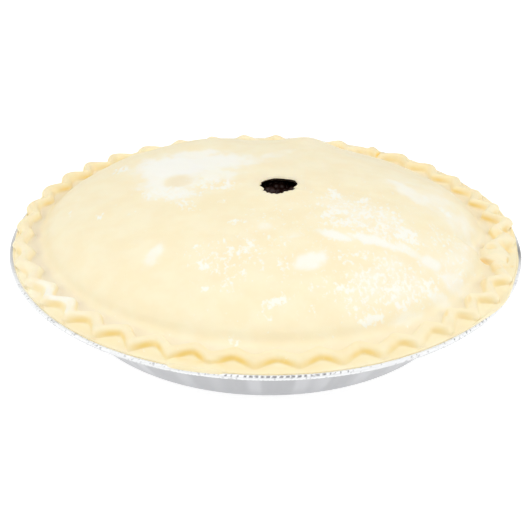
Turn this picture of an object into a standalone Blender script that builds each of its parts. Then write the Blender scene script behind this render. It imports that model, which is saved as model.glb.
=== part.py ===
"""An unbaked two-crust berry pie in its foil dish, modelled at real size.

Metres, +Z up. The origin is the middle of the dish's footprint, on the table.
Angles run counter-clockwise from +X, seen from above, and -Y is the front.
"""

import math

import bmesh
import bpy
import numpy as np

MM = 0.001

# Foil dish: a 230 mm pie plate with sloping sides and a rolled edge.
DISH_RADIUS = 115.0 * MM
FOOT_RADIUS = 87.0 * MM
FOOT_FLAT_RADIUS = 86.4 * MM
FOOT_RING_INNER_RADIUS = 77.0 * MM
FOOT_PANEL_RAISE = 0.8 * MM
SIDE_FOOT_HEIGHT = 0.5 * MM
SIDE_TOP_RADIUS = 106.3 * MM
BRIM_HEIGHT = 25.3 * MM
FOIL = 0.3 * MM
BEAD_RADIUS = 1.1 * MM
PLEATS = 48
PLEAT_DEPTH = 0.4 * MM
DISH_STEPS = 2 * PLEATS
BEAD_POINTS = 5

# Pastry sheets and the clearances between the pieces.
GAP = 0.3 * MM
BASE_DOUGH = 3.0 * MM
LID_DOUGH = 3.2 * MM
BASE_BRIM_DOUGH = 1.0 * MM

# Lid: a dome heaped over the fruit, a groove, a zigzag crimp and a thin brim.
DOME_RADIUS = 97.5 * MM
DOME_RISE = 24.0 * MM
DOME_POWER = 2.6
DOME_ROUNDNESS = 0.6
DOME_RINGS = 9
COARSE_STEPS = 80
FILLING_STEPS = 40
CRIMPS = 40
POINTS_PER_CRIMP = 8
CRIMP_RADIUS = 106.0 * MM
CRIMP_HALF_FOOT = 3.0 * MM
CRIMP_HALF_INSIDE = 3.4 * MM
CRIMP_SWING_INSIDE = 2.0 * MM
CRIMP_SWING_OUTSIDE = 4.1 * MM
CRIMP_TOP = 32.4 * MM
CRIMP_SHARPNESS = 0.96
CRIMP_START = 6.5
EDGE_RADIUS = 112.9 * MM

# The crimped ring is a little wider than it is deep.
OVAL_SWING = 1.5 * MM
OVAL_ANGLE = math.radians(-7)

# Vent cut through the top by a small fluted cutter.
VENT_X = 5.7 * MM
VENT_Y = 0.6 * MM
VENT_RADIUS = 7.7 * MM
VENT_FLUTES = 19
VENT_FLUTE_DEPTH = 0.3 * MM
VENT_DOUGH = 1.2 * MM
VENT_SAG = 2.2 * MM
# Where the vent's edge is torn wider or narrower: angle, spread, distance.
VENT_TEARS = ((97, 62, 2.5 * MM), (48, 18, 1.8 * MM), (145, 18, 0.75 * MM), (-62, 27, -1.9 * MM))

# Berries under the lid raise and drop it: x, y, height and spread.
LID_HUMPS = (
    (-84 * MM, 26 * MM, 0.6 * MM, 20 * MM),
    (-62 * MM, 52 * MM, 1.6 * MM, 18 * MM),
    (-34 * MM, 68 * MM, 2.1 * MM, 18 * MM),
    (-4 * MM, 74 * MM, -1.7 * MM, 16 * MM),
    (20 * MM, 70 * MM, 2.5 * MM, 12 * MM),
    (46 * MM, 70 * MM, -2.2 * MM, 18 * MM),
    (68 * MM, 50 * MM, -2.2 * MM, 18 * MM),
    (86 * MM, 22 * MM, 1.0 * MM, 18 * MM),
    (-32 * MM, 40 * MM, -1.0 * MM, 15 * MM),
    (6 * MM, 1 * MM, 1.0 * MM, 20 * MM),
    (48 * MM, -30 * MM, 1.2 * MM, 24 * MM),
    (-46 * MM, -34 * MM, 0.8 * MM, 26 * MM),
    (2 * MM, -54 * MM, 0.9 * MM, 22 * MM),
)

# Where the crimps fall late or early: angle, spread, degrees.
CRIMP_DRIFTS = (
    (212, 34, 2.2),
    (217, 14, -0.9),
    (25, 26, -2.3),
    (322, 18, -0.8),
    (275, 18, 0.6),
    (126, 14, 2.0),
)
# Where they lean over to one side: angle, spread, degrees.
CRIMP_LEANS = ((305, 28, 0.6),)
# Where they are shallower than elsewhere: angle, spread, share lost.
CRIMP_SHALLOWS = ((272, 12, 0.3), (182, 22, 0.5), (40, 24, 0.25), (350, 7, 0.6), (302, 12, 0.18))
# Where the zigzag's outer corners are broad and its inner ones narrow: share.
CRIMP_BROADS = ((148, 30, 0.9), (60, 30, 0.3))
# Where the crimp stands higher: angle, spread, height.
CRIMP_RAISES = ((148, 26, 0.8 * MM), (7, 10, 0.8 * MM), (50, 20, 0.6 * MM))
# Where the whole crimp lies farther out or in: angle, spread, distance.
CRIMP_SHIFTS = (
    (175, 34, 1.8 * MM),
    (85, 36, -1.6 * MM),
    (274, 30, 1.0 * MM),
    (302, 10, 0.6 * MM),
    (6, 7, 1.0 * MM),
)
# Where the dome's foot spreads nearer to the crimp: angle, spread, distance.
DOME_SPREADS = ((158, 34, 3.6 * MM),)
# Where the pastry edge runs out over the bead or draws back: angle, spread, reach.
EDGE_REACHES = (
    (256, 6.5, 1.3 * MM),
    (329, 10, 1.7 * MM),
    (353, 7, 0.2 * MM),
    (9, 8, 1.3 * MM),
    (156, 15, 1.0 * MM),
    (88, 30, -0.4 * MM),
)
# The joint where the two ends of the crimp overlap, and the cleft beside it.
JOINT_ANGLE = 349
JOINT_SPREAD = 5.0
JOINT_REACH = 7.5 * MM
JOINT_CLEFT_ANGLE = 344
JOINT_CLEFT_SPREAD = 1.3
JOINT_CLEFT_DEPTH = 1.6 * MM

BEAD_CENTRE_RADIUS = DISH_RADIUS - BEAD_RADIUS
BEAD_CENTRE_HEIGHT = BRIM_HEIGHT + BEAD_RADIUS
BASE_BRIM_BOTTOM = BRIM_HEIGHT + FOIL + GAP
BASE_BRIM_TOP = BASE_BRIM_BOTTOM + BASE_BRIM_DOUGH
LID_BOTTOM = BASE_BRIM_TOP + GAP + 0.1 * MM
LID_EDGE_BOTTOM = BEAD_CENTRE_HEIGHT + BEAD_RADIUS + GAP
LID_EDGE_TOP = LID_EDGE_BOTTOM + 0.7 * MM
GROOVE_HEIGHT = LID_BOTTOM + 1.1 * MM
CRIMP_FOOT_OUTSIDE = LID_BOTTOM + 1.7 * MM
SIDE_RUN = SIDE_TOP_RADIUS - FOOT_RADIUS
SIDE_CLIMB = BRIM_HEIGHT - SIDE_FOOT_HEIGHT
SIDE_LENGTH = math.hypot(SIDE_RUN, SIDE_CLIMB)


def fresh_collection(name):
    """A collection of that name for the pie, in an emptied scene."""
    for old in list(bpy.data.objects):
        bpy.data.objects.remove(old)
    collection = bpy.data.collections.new(name)
    bpy.context.scene.collection.children.link(collection)
    return collection


def material(name, colour, roughness, metallic=0.0):
    """A Principled material with the piece's own colour."""
    made = bpy.data.materials.new(name)
    made.use_nodes = True
    made.diffuse_color = (*colour, 1.0)
    shader = made.node_tree.nodes["Principled BSDF"]
    shader.inputs["Base Color"].default_value = (*colour, 1.0)
    shader.inputs["Roughness"].default_value = roughness
    shader.inputs["Metallic"].default_value = metallic
    return made


def turned(profile, steps):
    """The mesh of a profile of (radius, height) points turned once round Z."""
    outline = bpy.data.meshes.new("profile")
    edges = [(i, i + 1) for i in range(len(profile) - 1)]
    outline.from_pydata([(r, 0.0, z) for r, z in profile], edges, [])
    blank = bpy.data.objects.new("profile", outline)
    bpy.context.scene.collection.objects.link(blank)
    screw = blank.modifiers.new("Turn", "SCREW")
    screw.steps = steps
    screw.render_steps = steps
    screw.use_merge_vertices = True
    screw.merge_threshold = 0.00001
    bpy.context.view_layer.update()
    graph = bpy.context.evaluated_depsgraph_get()
    mesh = bpy.data.meshes.new_from_object(blank.evaluated_get(graph))
    bpy.data.objects.remove(blank)
    return mesh


def face_outwards(mesh):
    """Welds the seam of a turned mesh and points its faces outwards."""
    work = bmesh.new()
    work.from_mesh(mesh)
    bmesh.ops.remove_doubles(work, verts=work.verts, dist=0.00001)
    bmesh.ops.recalc_face_normals(work, faces=work.faces)
    work.to_mesh(mesh)
    work.free()


def reshape(mesh, rule):
    """Moves every point of a mesh: rule takes and gives radius, angle, height."""
    points = np.empty(len(mesh.vertices) * 3)
    mesh.vertices.foreach_get("co", points)
    x, y, z = points.reshape(-1, 3).T
    radius, angle, height = rule(np.hypot(x, y), np.arctan2(y, x), z)
    moved = np.stack([radius * np.cos(angle), radius * np.sin(angle), height], axis=1)
    mesh.vertices.foreach_set("co", moved.ravel())
    mesh.update()


def piece(collection, name, mesh, finish, sharp_degrees=40):
    """Adds a mesh to the pie as a smooth-shaded named object."""
    face_outwards(mesh)
    mesh.name = name
    mesh.materials.append(finish)
    made = bpy.data.objects.new(name, mesh)
    collection.objects.link(made)
    mesh.shade_smooth()
    mesh.set_sharp_from_angle(angle=math.radians(sharp_degrees))
    return made


def bell(angle, centre, spread):
    """A smooth bump of height 1 round an angle, both sizes in degrees."""
    away = (np.degrees(angle) - centre + 180) % 360 - 180
    return np.exp(-((away / spread) ** 2))


def smooth_step(value, low, high):
    """0 below low, 1 above high and an even S between them."""
    share = np.clip((value - low) / (high - low), 0, 1)
    return share * share * (3 - 2 * share)


def side_line(inward):
    """Foot and top of the sloping side, moved inwards from the foil's outside."""
    shift_r = -inward * SIDE_CLIMB / SIDE_LENGTH
    shift_z = inward * SIDE_RUN / SIDE_LENGTH
    return (
        (FOOT_RADIUS + shift_r, SIDE_FOOT_HEIGHT + shift_z),
        (SIDE_TOP_RADIUS + shift_r, BRIM_HEIGHT + shift_z),
    )


def radius_on_side(inward, height):
    """Radius of the sloping side at a height, moved inwards by a distance."""
    (low_r, low_z), (top_r, top_z) = side_line(inward)
    return low_r + (height - low_z) * (top_r - low_r) / (top_z - low_z)


def pleated(radius, angle, height):
    """Soft pleats pressed into the side of the foil, fading out at its foot."""
    up_side = smooth_step(height, SIDE_FOOT_HEIGHT, 0.4 * BRIM_HEIGHT)
    up_side = up_side * (1 - smooth_step(radius, SIDE_TOP_RADIUS, SIDE_TOP_RADIUS + 2 * MM))
    uneven = 0.6 + 0.4 * np.sin(5 * angle + 1.0) * np.sin(13 * angle)
    push = 0.5 * PLEAT_DEPTH * np.cos(PLEATS * angle) * uneven * up_side
    return radius + push, angle, height


def foil_dish(collection):
    """The pie plate: foot ring, pleated side, flat brim and rolled bead."""
    (low_out, _), _ = side_line(0)
    (low_in, low_in_z), _ = side_line(FOIL)
    first = math.pi + math.asin((BEAD_CENTRE_HEIGHT - BRIM_HEIGHT - FOIL) / BEAD_RADIUS)
    last = -0.5 * math.pi
    turns = [first + (last - first) * i / BEAD_POINTS for i in range(BEAD_POINTS + 1)]
    bead = [
        (
            BEAD_CENTRE_RADIUS + BEAD_RADIUS * math.cos(turn),
            BEAD_CENTRE_HEIGHT + BEAD_RADIUS * math.sin(turn),
        )
        for turn in turns
    ]
    inside = [
        (0, FOOT_PANEL_RAISE + FOIL),
        (FOOT_RING_INNER_RADIUS - 1 * MM, FOOT_PANEL_RAISE + FOIL),
        (FOOT_RING_INNER_RADIUS, FOIL),
        (FOOT_FLAT_RADIUS, FOIL),
        (low_in, low_in_z),
        (radius_on_side(FOIL, BRIM_HEIGHT + FOIL), BRIM_HEIGHT + FOIL),
    ]
    outside = [
        (SIDE_TOP_RADIUS, BRIM_HEIGHT),
        (low_out, SIDE_FOOT_HEIGHT),
        (FOOT_FLAT_RADIUS, 0),
        (FOOT_RING_INNER_RADIUS, 0),
        (FOOT_RING_INNER_RADIUS - 1 * MM, FOOT_PANEL_RAISE),
        (0, FOOT_PANEL_RAISE),
    ]
    mesh = turned(inside + bead + outside, DISH_STEPS)
    reshape(mesh, pleated)
    finish = material("foil", (0.80, 0.80, 0.81), 0.32, 1.0)
    return piece(collection, "foil_dish", mesh, finish)


def drawn_back(radius, angle, height):
    """Trims the base pastry's edge unevenly, never out to the bead."""
    at_edge = smooth_step(radius, 110 * MM, 112 * MM)
    trim = 0.5 * MM * (1 + np.sin(4 * angle) * np.sin(7 * angle + 0.6))
    return radius - trim * at_edge, angle, height


def base_pastry(collection):
    """The pastry that lines the dish and lies out over its brim."""
    outer = FOIL + GAP + 0.5 * PLEAT_DEPTH
    inner = outer + BASE_DOUGH
    floor = FOOT_PANEL_RAISE + FOIL + GAP
    profile = [
        (0, floor + BASE_DOUGH),
        (radius_on_side(inner, floor + BASE_DOUGH), floor + BASE_DOUGH),
        (radius_on_side(inner, BASE_BRIM_TOP), BASE_BRIM_TOP),
        (112.2 * MM, BASE_BRIM_TOP),
        (112.2 * MM, BASE_BRIM_BOTTOM),
        (radius_on_side(outer, BASE_BRIM_BOTTOM), BASE_BRIM_BOTTOM),
        (radius_on_side(outer, floor + 1.0 * MM), floor + 1.0 * MM),
        (FOOT_FLAT_RADIUS - 1 * MM, floor),
        (0, floor),
    ]
    mesh = turned(profile, COARSE_STEPS)
    reshape(mesh, drawn_back)
    finish = material("base_pastry", (0.93, 0.83, 0.60), 0.55)
    return piece(collection, "base_pastry", mesh, finish)


def humps(x, y):
    """How far the berries below lift the lid at a place."""
    lift = np.zeros_like(x)
    for centre_x, centre_y, height, spread in LID_HUMPS:
        away = (x - centre_x) ** 2 + (y - centre_y) ** 2
        lift = lift + height * np.exp(-away / spread**2)
    return lift


def dome_height(radius):
    """Height of the lid's outside above the groove, before the humps."""
    share = np.clip(radius / DOME_RADIUS, 0, 1)
    return DOME_RISE * (1 - share**DOME_POWER) ** DOME_ROUNDNESS


def sum_of_bells(angle, bells):
    """The sum of bumps given as (centre, spread, height)."""
    return sum(height * bell(angle, centre, spread) for centre, spread, height in bells)


def crimp_wave(phase, broad):
    """The zigzag, from 1 at its outer corners to -1 at its inner ones."""
    wave = np.arcsin(CRIMP_SHARPNESS * np.cos(phase)) / math.asin(CRIMP_SHARPNESS)
    return wave + broad * (1 - 2 * (0.5 - 0.5 * wave) ** 2 - wave)


def oval(angle):
    """How far the crimped ring stands out from a true circle."""
    return OVAL_SWING * np.cos(2 * (angle - OVAL_ANGLE))


def crimped(radius, angle, height):
    """Turns the plain turned rim into the crimped one."""
    inner = CRIMP_RADIUS - CRIMP_HALF_INSIDE
    outer = CRIMP_RADIUS + CRIMP_HALF_FOOT
    phase = CRIMPS * angle
    wave = crimp_wave(phase, sum_of_bells(angle, CRIMP_BROADS))
    turn = CRIMP_START + sum_of_bells(angle, CRIMP_DRIFTS)
    lean = sum_of_bells(angle, CRIMP_LEANS) * np.cos(phase)
    angle = angle + np.radians(turn - lean)
    deep = 1 - sum_of_bells(angle, CRIMP_SHALLOWS)
    uneven = 1 + 0.1 * np.sin(3 * angle + 0.4) * np.sin(11 * angle)
    on_top = np.interp(radius, (outer, EDGE_RADIUS - 1 * MM), (1, 0)) * (height > LID_EDGE_BOTTOM)
    stops = (inner, outer)
    swing = np.interp(radius, stops, (CRIMP_SWING_INSIDE, CRIMP_SWING_OUTSIDE))
    moved = radius + swing * wave * deep * uneven * on_top
    joint = bell(angle, JOINT_ANGLE, JOINT_SPREAD) * np.interp(radius, stops, (1, 0.1)) * on_top
    moved = moved + (oval(angle) + sum_of_bells(angle, CRIMP_SHIFTS)) * on_top - JOINT_REACH * joint
    at_edge = radius > EDGE_RADIUS - 0.5 * MM
    moved = moved + at_edge * sum_of_bells(angle, EDGE_REACHES)
    moved = moved + at_edge * 0.25 * MM * np.sin(9 * angle) * np.sin(14 * angle + 2)
    cleft = bell(angle, JOINT_CLEFT_ANGLE, JOINT_CLEFT_SPREAD) * (height > CRIMP_FOOT_OUTSIDE + MM)
    foot = np.isclose(radius, outer) * (height > LID_EDGE_TOP)
    slope = foot * 0.1 * (moved - (outer - CRIMP_SWING_OUTSIDE))
    raised = smooth_step(height, CRIMP_FOOT_OUTSIDE, CRIMP_TOP - 0.2 * MM)
    lift = raised * sum_of_bells(angle, CRIMP_RAISES)
    return moved, angle, height - JOINT_CLEFT_DEPTH * cleft - slope + lift


def heaped(radius, angle, height):
    """Turns the plain turned dome into the one the berries push up."""
    out = oval(angle) + sum_of_bells(angle, DOME_SPREADS)
    out = out * smooth_step(radius, 70 * MM, DOME_RADIUS) * (height > LID_BOTTOM + 0.1 * MM)
    joint = bell(angle, JOINT_ANGLE, JOINT_SPREAD) * (radius > DOME_RADIUS - 0.1 * MM)
    away = smooth_step(radius, 97.4 * MM, 86 * MM)
    lift = humps(radius * np.cos(angle), radius * np.sin(angle)) * away
    lift = lift * (height > LID_BOTTOM + 0.5 * MM)
    return radius + out - JOINT_REACH * joint, angle, height + lift


def open_rings(work):
    """The open edges of a mesh as two rings, the lower one first."""
    edges = [edge for edge in work.edges if edge.is_boundary]
    split = 0.5 * (LID_BOTTOM + GROOVE_HEIGHT)
    low = [edge for edge in edges if edge.verts[0].co.z < split]
    high = [edge for edge in edges if edge.verts[0].co.z >= split]
    return low, high


def vented(radius, angle, height):
    """Moves the hole from the axis to the vent's own place, and flutes its edge."""
    near = 1 - smooth_step(radius, VENT_RADIUS, 5 * VENT_RADIUS)
    torn = VENT_FLUTE_DEPTH * np.cos(VENT_FLUTES * angle) + sum_of_bells(angle, VENT_TEARS)
    torn = torn * (1 - smooth_step(radius, 1.1 * VENT_RADIUS, 2.6 * VENT_RADIUS))
    x = (radius + torn) * np.cos(angle) + VENT_X * near
    y = (radius + torn) * np.sin(angle) + VENT_Y * near
    return np.hypot(x, y), np.arctan2(y, x), height


def lid_dome():
    """The dome's shell, open round its foot and pierced by the vent."""
    ramp = [i / DOME_RINGS for i in range(DOME_RINGS + 1)]
    start = VENT_RADIUS / DOME_RADIUS
    radii = [DOME_RADIUS * math.sin(0.5 * math.pi * (start + (1 - start) * t)) for t in ramp]
    outside = [(r, GROOVE_HEIGHT + float(dome_height(r))) for r in radii]
    outside[0] = (VENT_RADIUS, outside[0][1])
    inner_radius = DOME_RADIUS - LID_DOUGH - OVAL_SWING
    inside = [
        (r * inner_radius / DOME_RADIUS, max(z - LID_DOUGH, LID_BOTTOM))
        for r, z in outside[1:-1:2]
    ]
    inside = [(VENT_RADIUS, outside[0][1] - VENT_DOUGH)] + inside + [(inner_radius, LID_BOTTOM)]
    mesh = turned(inside[::-1] + outside, COARSE_STEPS)
    reshape(mesh, vented)
    reshape(mesh, heaped)
    return mesh


def lid_rim():
    """The groove's outer side, the crimp, the brim and its underside."""
    crest = CRIMP_TOP - GROOVE_HEIGHT
    profile = [
        (CRIMP_RADIUS - CRIMP_HALF_INSIDE, GROOVE_HEIGHT),
        (CRIMP_RADIUS - 2.5 * MM, GROOVE_HEIGHT + 0.62 * crest),
        (CRIMP_RADIUS - 1.1 * MM, CRIMP_TOP),
        (CRIMP_RADIUS + 1.2 * MM, CRIMP_TOP - 0.1 * MM),
        (CRIMP_RADIUS + 2.7 * MM, GROOVE_HEIGHT + 0.68 * crest),
        (CRIMP_RADIUS + CRIMP_HALF_FOOT, CRIMP_FOOT_OUTSIDE),
        (EDGE_RADIUS, LID_EDGE_TOP),
        (EDGE_RADIUS + 0.2 * MM, LID_EDGE_BOTTOM),
        (BEAD_CENTRE_RADIUS - BEAD_RADIUS - 1.2 * MM, LID_BOTTOM),
    ]
    mesh = turned(profile, CRIMPS * POINTS_PER_CRIMP)
    reshape(mesh, crimped)
    return mesh


def lid(collection):
    """The top sheet: one solid from the vent to the edge over the bead."""
    work = bmesh.new()
    work.from_mesh(lid_dome())
    work.from_mesh(lid_rim())
    bmesh.ops.remove_doubles(work, verts=work.verts, dist=0.00001)
    for ring in open_rings(work):
        bmesh.ops.bridge_loops(work, edges=ring)
    mesh = bpy.data.meshes.new("lid")
    work.to_mesh(mesh)
    work.free()
    finish = material("lid_pastry", (0.95, 0.86, 0.65), 0.55)
    return piece(collection, "lid_pastry", mesh, finish, 30)


def settled(radius, angle, height):
    """Lets the fruit follow the lid's humps, and sink where the vent shows it."""
    on_top = height > BASE_BRIM_TOP
    x = radius * np.cos(angle)
    y = radius * np.sin(angle)
    away = smooth_step(radius, 97.4 * MM, 86 * MM)
    lift = humps(x, y) * away
    from_vent = (x - VENT_X) ** 2 + (y - VENT_Y) ** 2
    sag = VENT_SAG * np.exp(-from_vent / (2 * VENT_RADIUS) ** 2)
    berries = 0.5 * MM * (1 + np.sin(8 * angle) * np.cos(radius / (4 * MM)))
    return radius, angle, height + (lift - sag - berries) * on_top


def berry_filling(collection):
    """The fruit between the two pastries, seen only through the vent."""
    wall = FOIL + GAP + 0.5 * PLEAT_DEPTH + BASE_DOUGH + GAP
    floor = FOOT_PANEL_RAISE + FOIL + GAP + BASE_DOUGH + GAP
    top_radius = DOME_RADIUS - LID_DOUGH - 3.5 * MM
    steps = [i / DOME_RINGS for i in range(DOME_RINGS + 1)]
    radii = [top_radius * math.sin(0.5 * math.pi * t) for t in steps]
    below = LID_DOUGH + GAP + 1.4 * MM
    top = [
        (r, max(GROOVE_HEIGHT + float(dome_height(r * DOME_RADIUS / top_radius)) - below, BASE_BRIM_TOP))
        for r in radii
    ]
    mesh = turned(top + [(radius_on_side(wall, floor), floor), (0, floor)], FILLING_STEPS)
    reshape(mesh, settled)
    finish = material("berry_filling", (0.05, 0.01, 0.015), 0.25)
    return piece(collection, "berry_filling", mesh, finish)


def main():
    """Builds the four pieces of the pie."""
    pie = fresh_collection("berry_pie")
    foil_dish(pie)
    base_pastry(pie)
    berry_filling(pie)
    lid(pie)


main()
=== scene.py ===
"""The looks of an unbaked bramble pie in its pressed foil dish.

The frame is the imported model's own: metres, +Z up, -Y to the front, and the
origin on the table under the middle of the dish. Angles run counter-clockwise
from +X, seen from above, and are given in degrees.
"""

import logging
import math
from collections.abc import Callable, Iterable, Sequence
from dataclasses import dataclass, field
from enum import Enum, IntEnum
from typing import NamedTuple

import bpy
import numpy as np
from mathutils import Matrix, Vector, noise


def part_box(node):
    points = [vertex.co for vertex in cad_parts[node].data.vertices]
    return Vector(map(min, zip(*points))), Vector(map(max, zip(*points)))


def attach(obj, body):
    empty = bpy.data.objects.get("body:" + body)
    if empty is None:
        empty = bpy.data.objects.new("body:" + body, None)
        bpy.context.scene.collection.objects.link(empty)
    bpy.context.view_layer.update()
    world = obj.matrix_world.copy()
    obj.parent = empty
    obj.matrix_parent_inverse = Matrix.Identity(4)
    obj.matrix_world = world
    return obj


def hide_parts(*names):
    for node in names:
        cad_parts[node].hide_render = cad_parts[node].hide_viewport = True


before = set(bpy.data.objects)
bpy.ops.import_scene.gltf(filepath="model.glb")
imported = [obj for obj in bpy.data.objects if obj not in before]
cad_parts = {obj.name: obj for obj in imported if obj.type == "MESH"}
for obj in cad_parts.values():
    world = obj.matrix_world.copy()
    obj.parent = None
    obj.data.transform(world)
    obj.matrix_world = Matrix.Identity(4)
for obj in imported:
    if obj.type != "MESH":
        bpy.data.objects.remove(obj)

MM = 0.001
LOG = logging.getLogger("bramble_pie")

Piece = bpy.types.Object
Tree = bpy.types.NodeTree
Socket = bpy.types.NodeSocket
Profile = Sequence[tuple[float, float]]
# Numbers for the points of a mesh, one or one row for each.
Values = np.ndarray


class Polar(NamedTuple):
    """A mesh's points round the pie's axis: radius, angle in radians, and height."""

    radius: Values
    angle: Values
    height: Values


Rule = Callable[[Polar], Polar]


# ---------------------------------------------------------------------------
# Nodes and colours
# ---------------------------------------------------------------------------


class MixSocket(IntEnum):
    """The Mix node's sockets when it mixes colours."""

    SHARE = 0
    FROM = 6
    TO = 7
    RESULT = 2


def linear(hex_code: str) -> tuple[float, float, float, float]:
    """Turns an sRGB colour into the linear one that shaders take.

    Args:
        hex_code: The colour as "#RRGGBB".

    Returns:
        Red, green, blue and an alpha of 1.
    """
    values = [int(hex_code[i : i + 2], 16) / 255 for i in (1, 3, 5)]
    bent = [v / 12.92 if v <= 0.04045 else ((v + 0.055) / 1.055) ** 2.4 for v in values]
    return (*bent, 1.0)


def add_node(
    tree: Tree, kind: str, inputs: dict | None = None, **settings: str | bool
) -> bpy.types.Node:
    """Adds a shader node with its settings and links.

    Args:
        tree: The material's node tree.
        kind: The node's type, without its ShaderNode prefix.
        inputs: For each input, by name or number, a constant or the output that feeds it.
        **settings: The node's own properties.

    Returns:
        The new node.
    """
    node = tree.nodes.new("ShaderNode" + kind)
    for name, value in settings.items():
        setattr(node, name, value)
    for key, value in (inputs or {}).items():
        if isinstance(value, Socket):
            tree.links.new(value, node.inputs[key])
        else:
            node.inputs[key].default_value = value
    return node


def blank_material(name: str) -> tuple[bpy.types.Material, Tree, bpy.types.Node]:
    """Makes a material that holds only its shader.

    Args:
        name: The material's name.

    Returns:
        The material, its node tree and its Principled shader.
    """
    material = bpy.data.materials.new(name)
    material.use_nodes = True
    tree = material.node_tree
    return material, tree, tree.nodes["Principled BSDF"]


def layered(tree: Tree, first: str, layers: Iterable[tuple[Socket | str, str]]) -> Socket:
    """Lays colours over one another.

    Args:
        tree: The material's node tree.
        first: The undermost colour, as "#RRGGBB".
        layers: For each colour over it, the share of it that covers what is below, as
            an output or as the name of what is painted on the mesh, and the colour.

    Returns:
        The output that gives the colour.
    """
    colour = linear(first)
    for share, tone in layers:
        if isinstance(share, str):
            share = add_node(tree, "Attribute", attribute_name=share).outputs["Fac"]
        sockets = {MixSocket.SHARE: share, MixSocket.FROM: colour, MixSocket.TO: linear(tone)}
        colour = add_node(tree, "Mix", sockets, data_type="RGBA").outputs[MixSocket.RESULT]
    return colour


# ---------------------------------------------------------------------------
# Finishes
# ---------------------------------------------------------------------------


class Dust(Enum):
    """How flour lies on the rolled pastry, named as it is painted on the mesh."""

    FILM = "film"
    FLECKS = "flecks"


@dataclass(frozen=True)
class Settling:
    """How painted flour breaks up in a noise.

    Unpainted places lie bare up to the noise's value bare. Paint lowers that value
    by up to pull. Below it the least flour lies, and from fade above it the most.
    """

    bare: float
    pull: float
    fade: float
    least: float
    most: float


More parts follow.
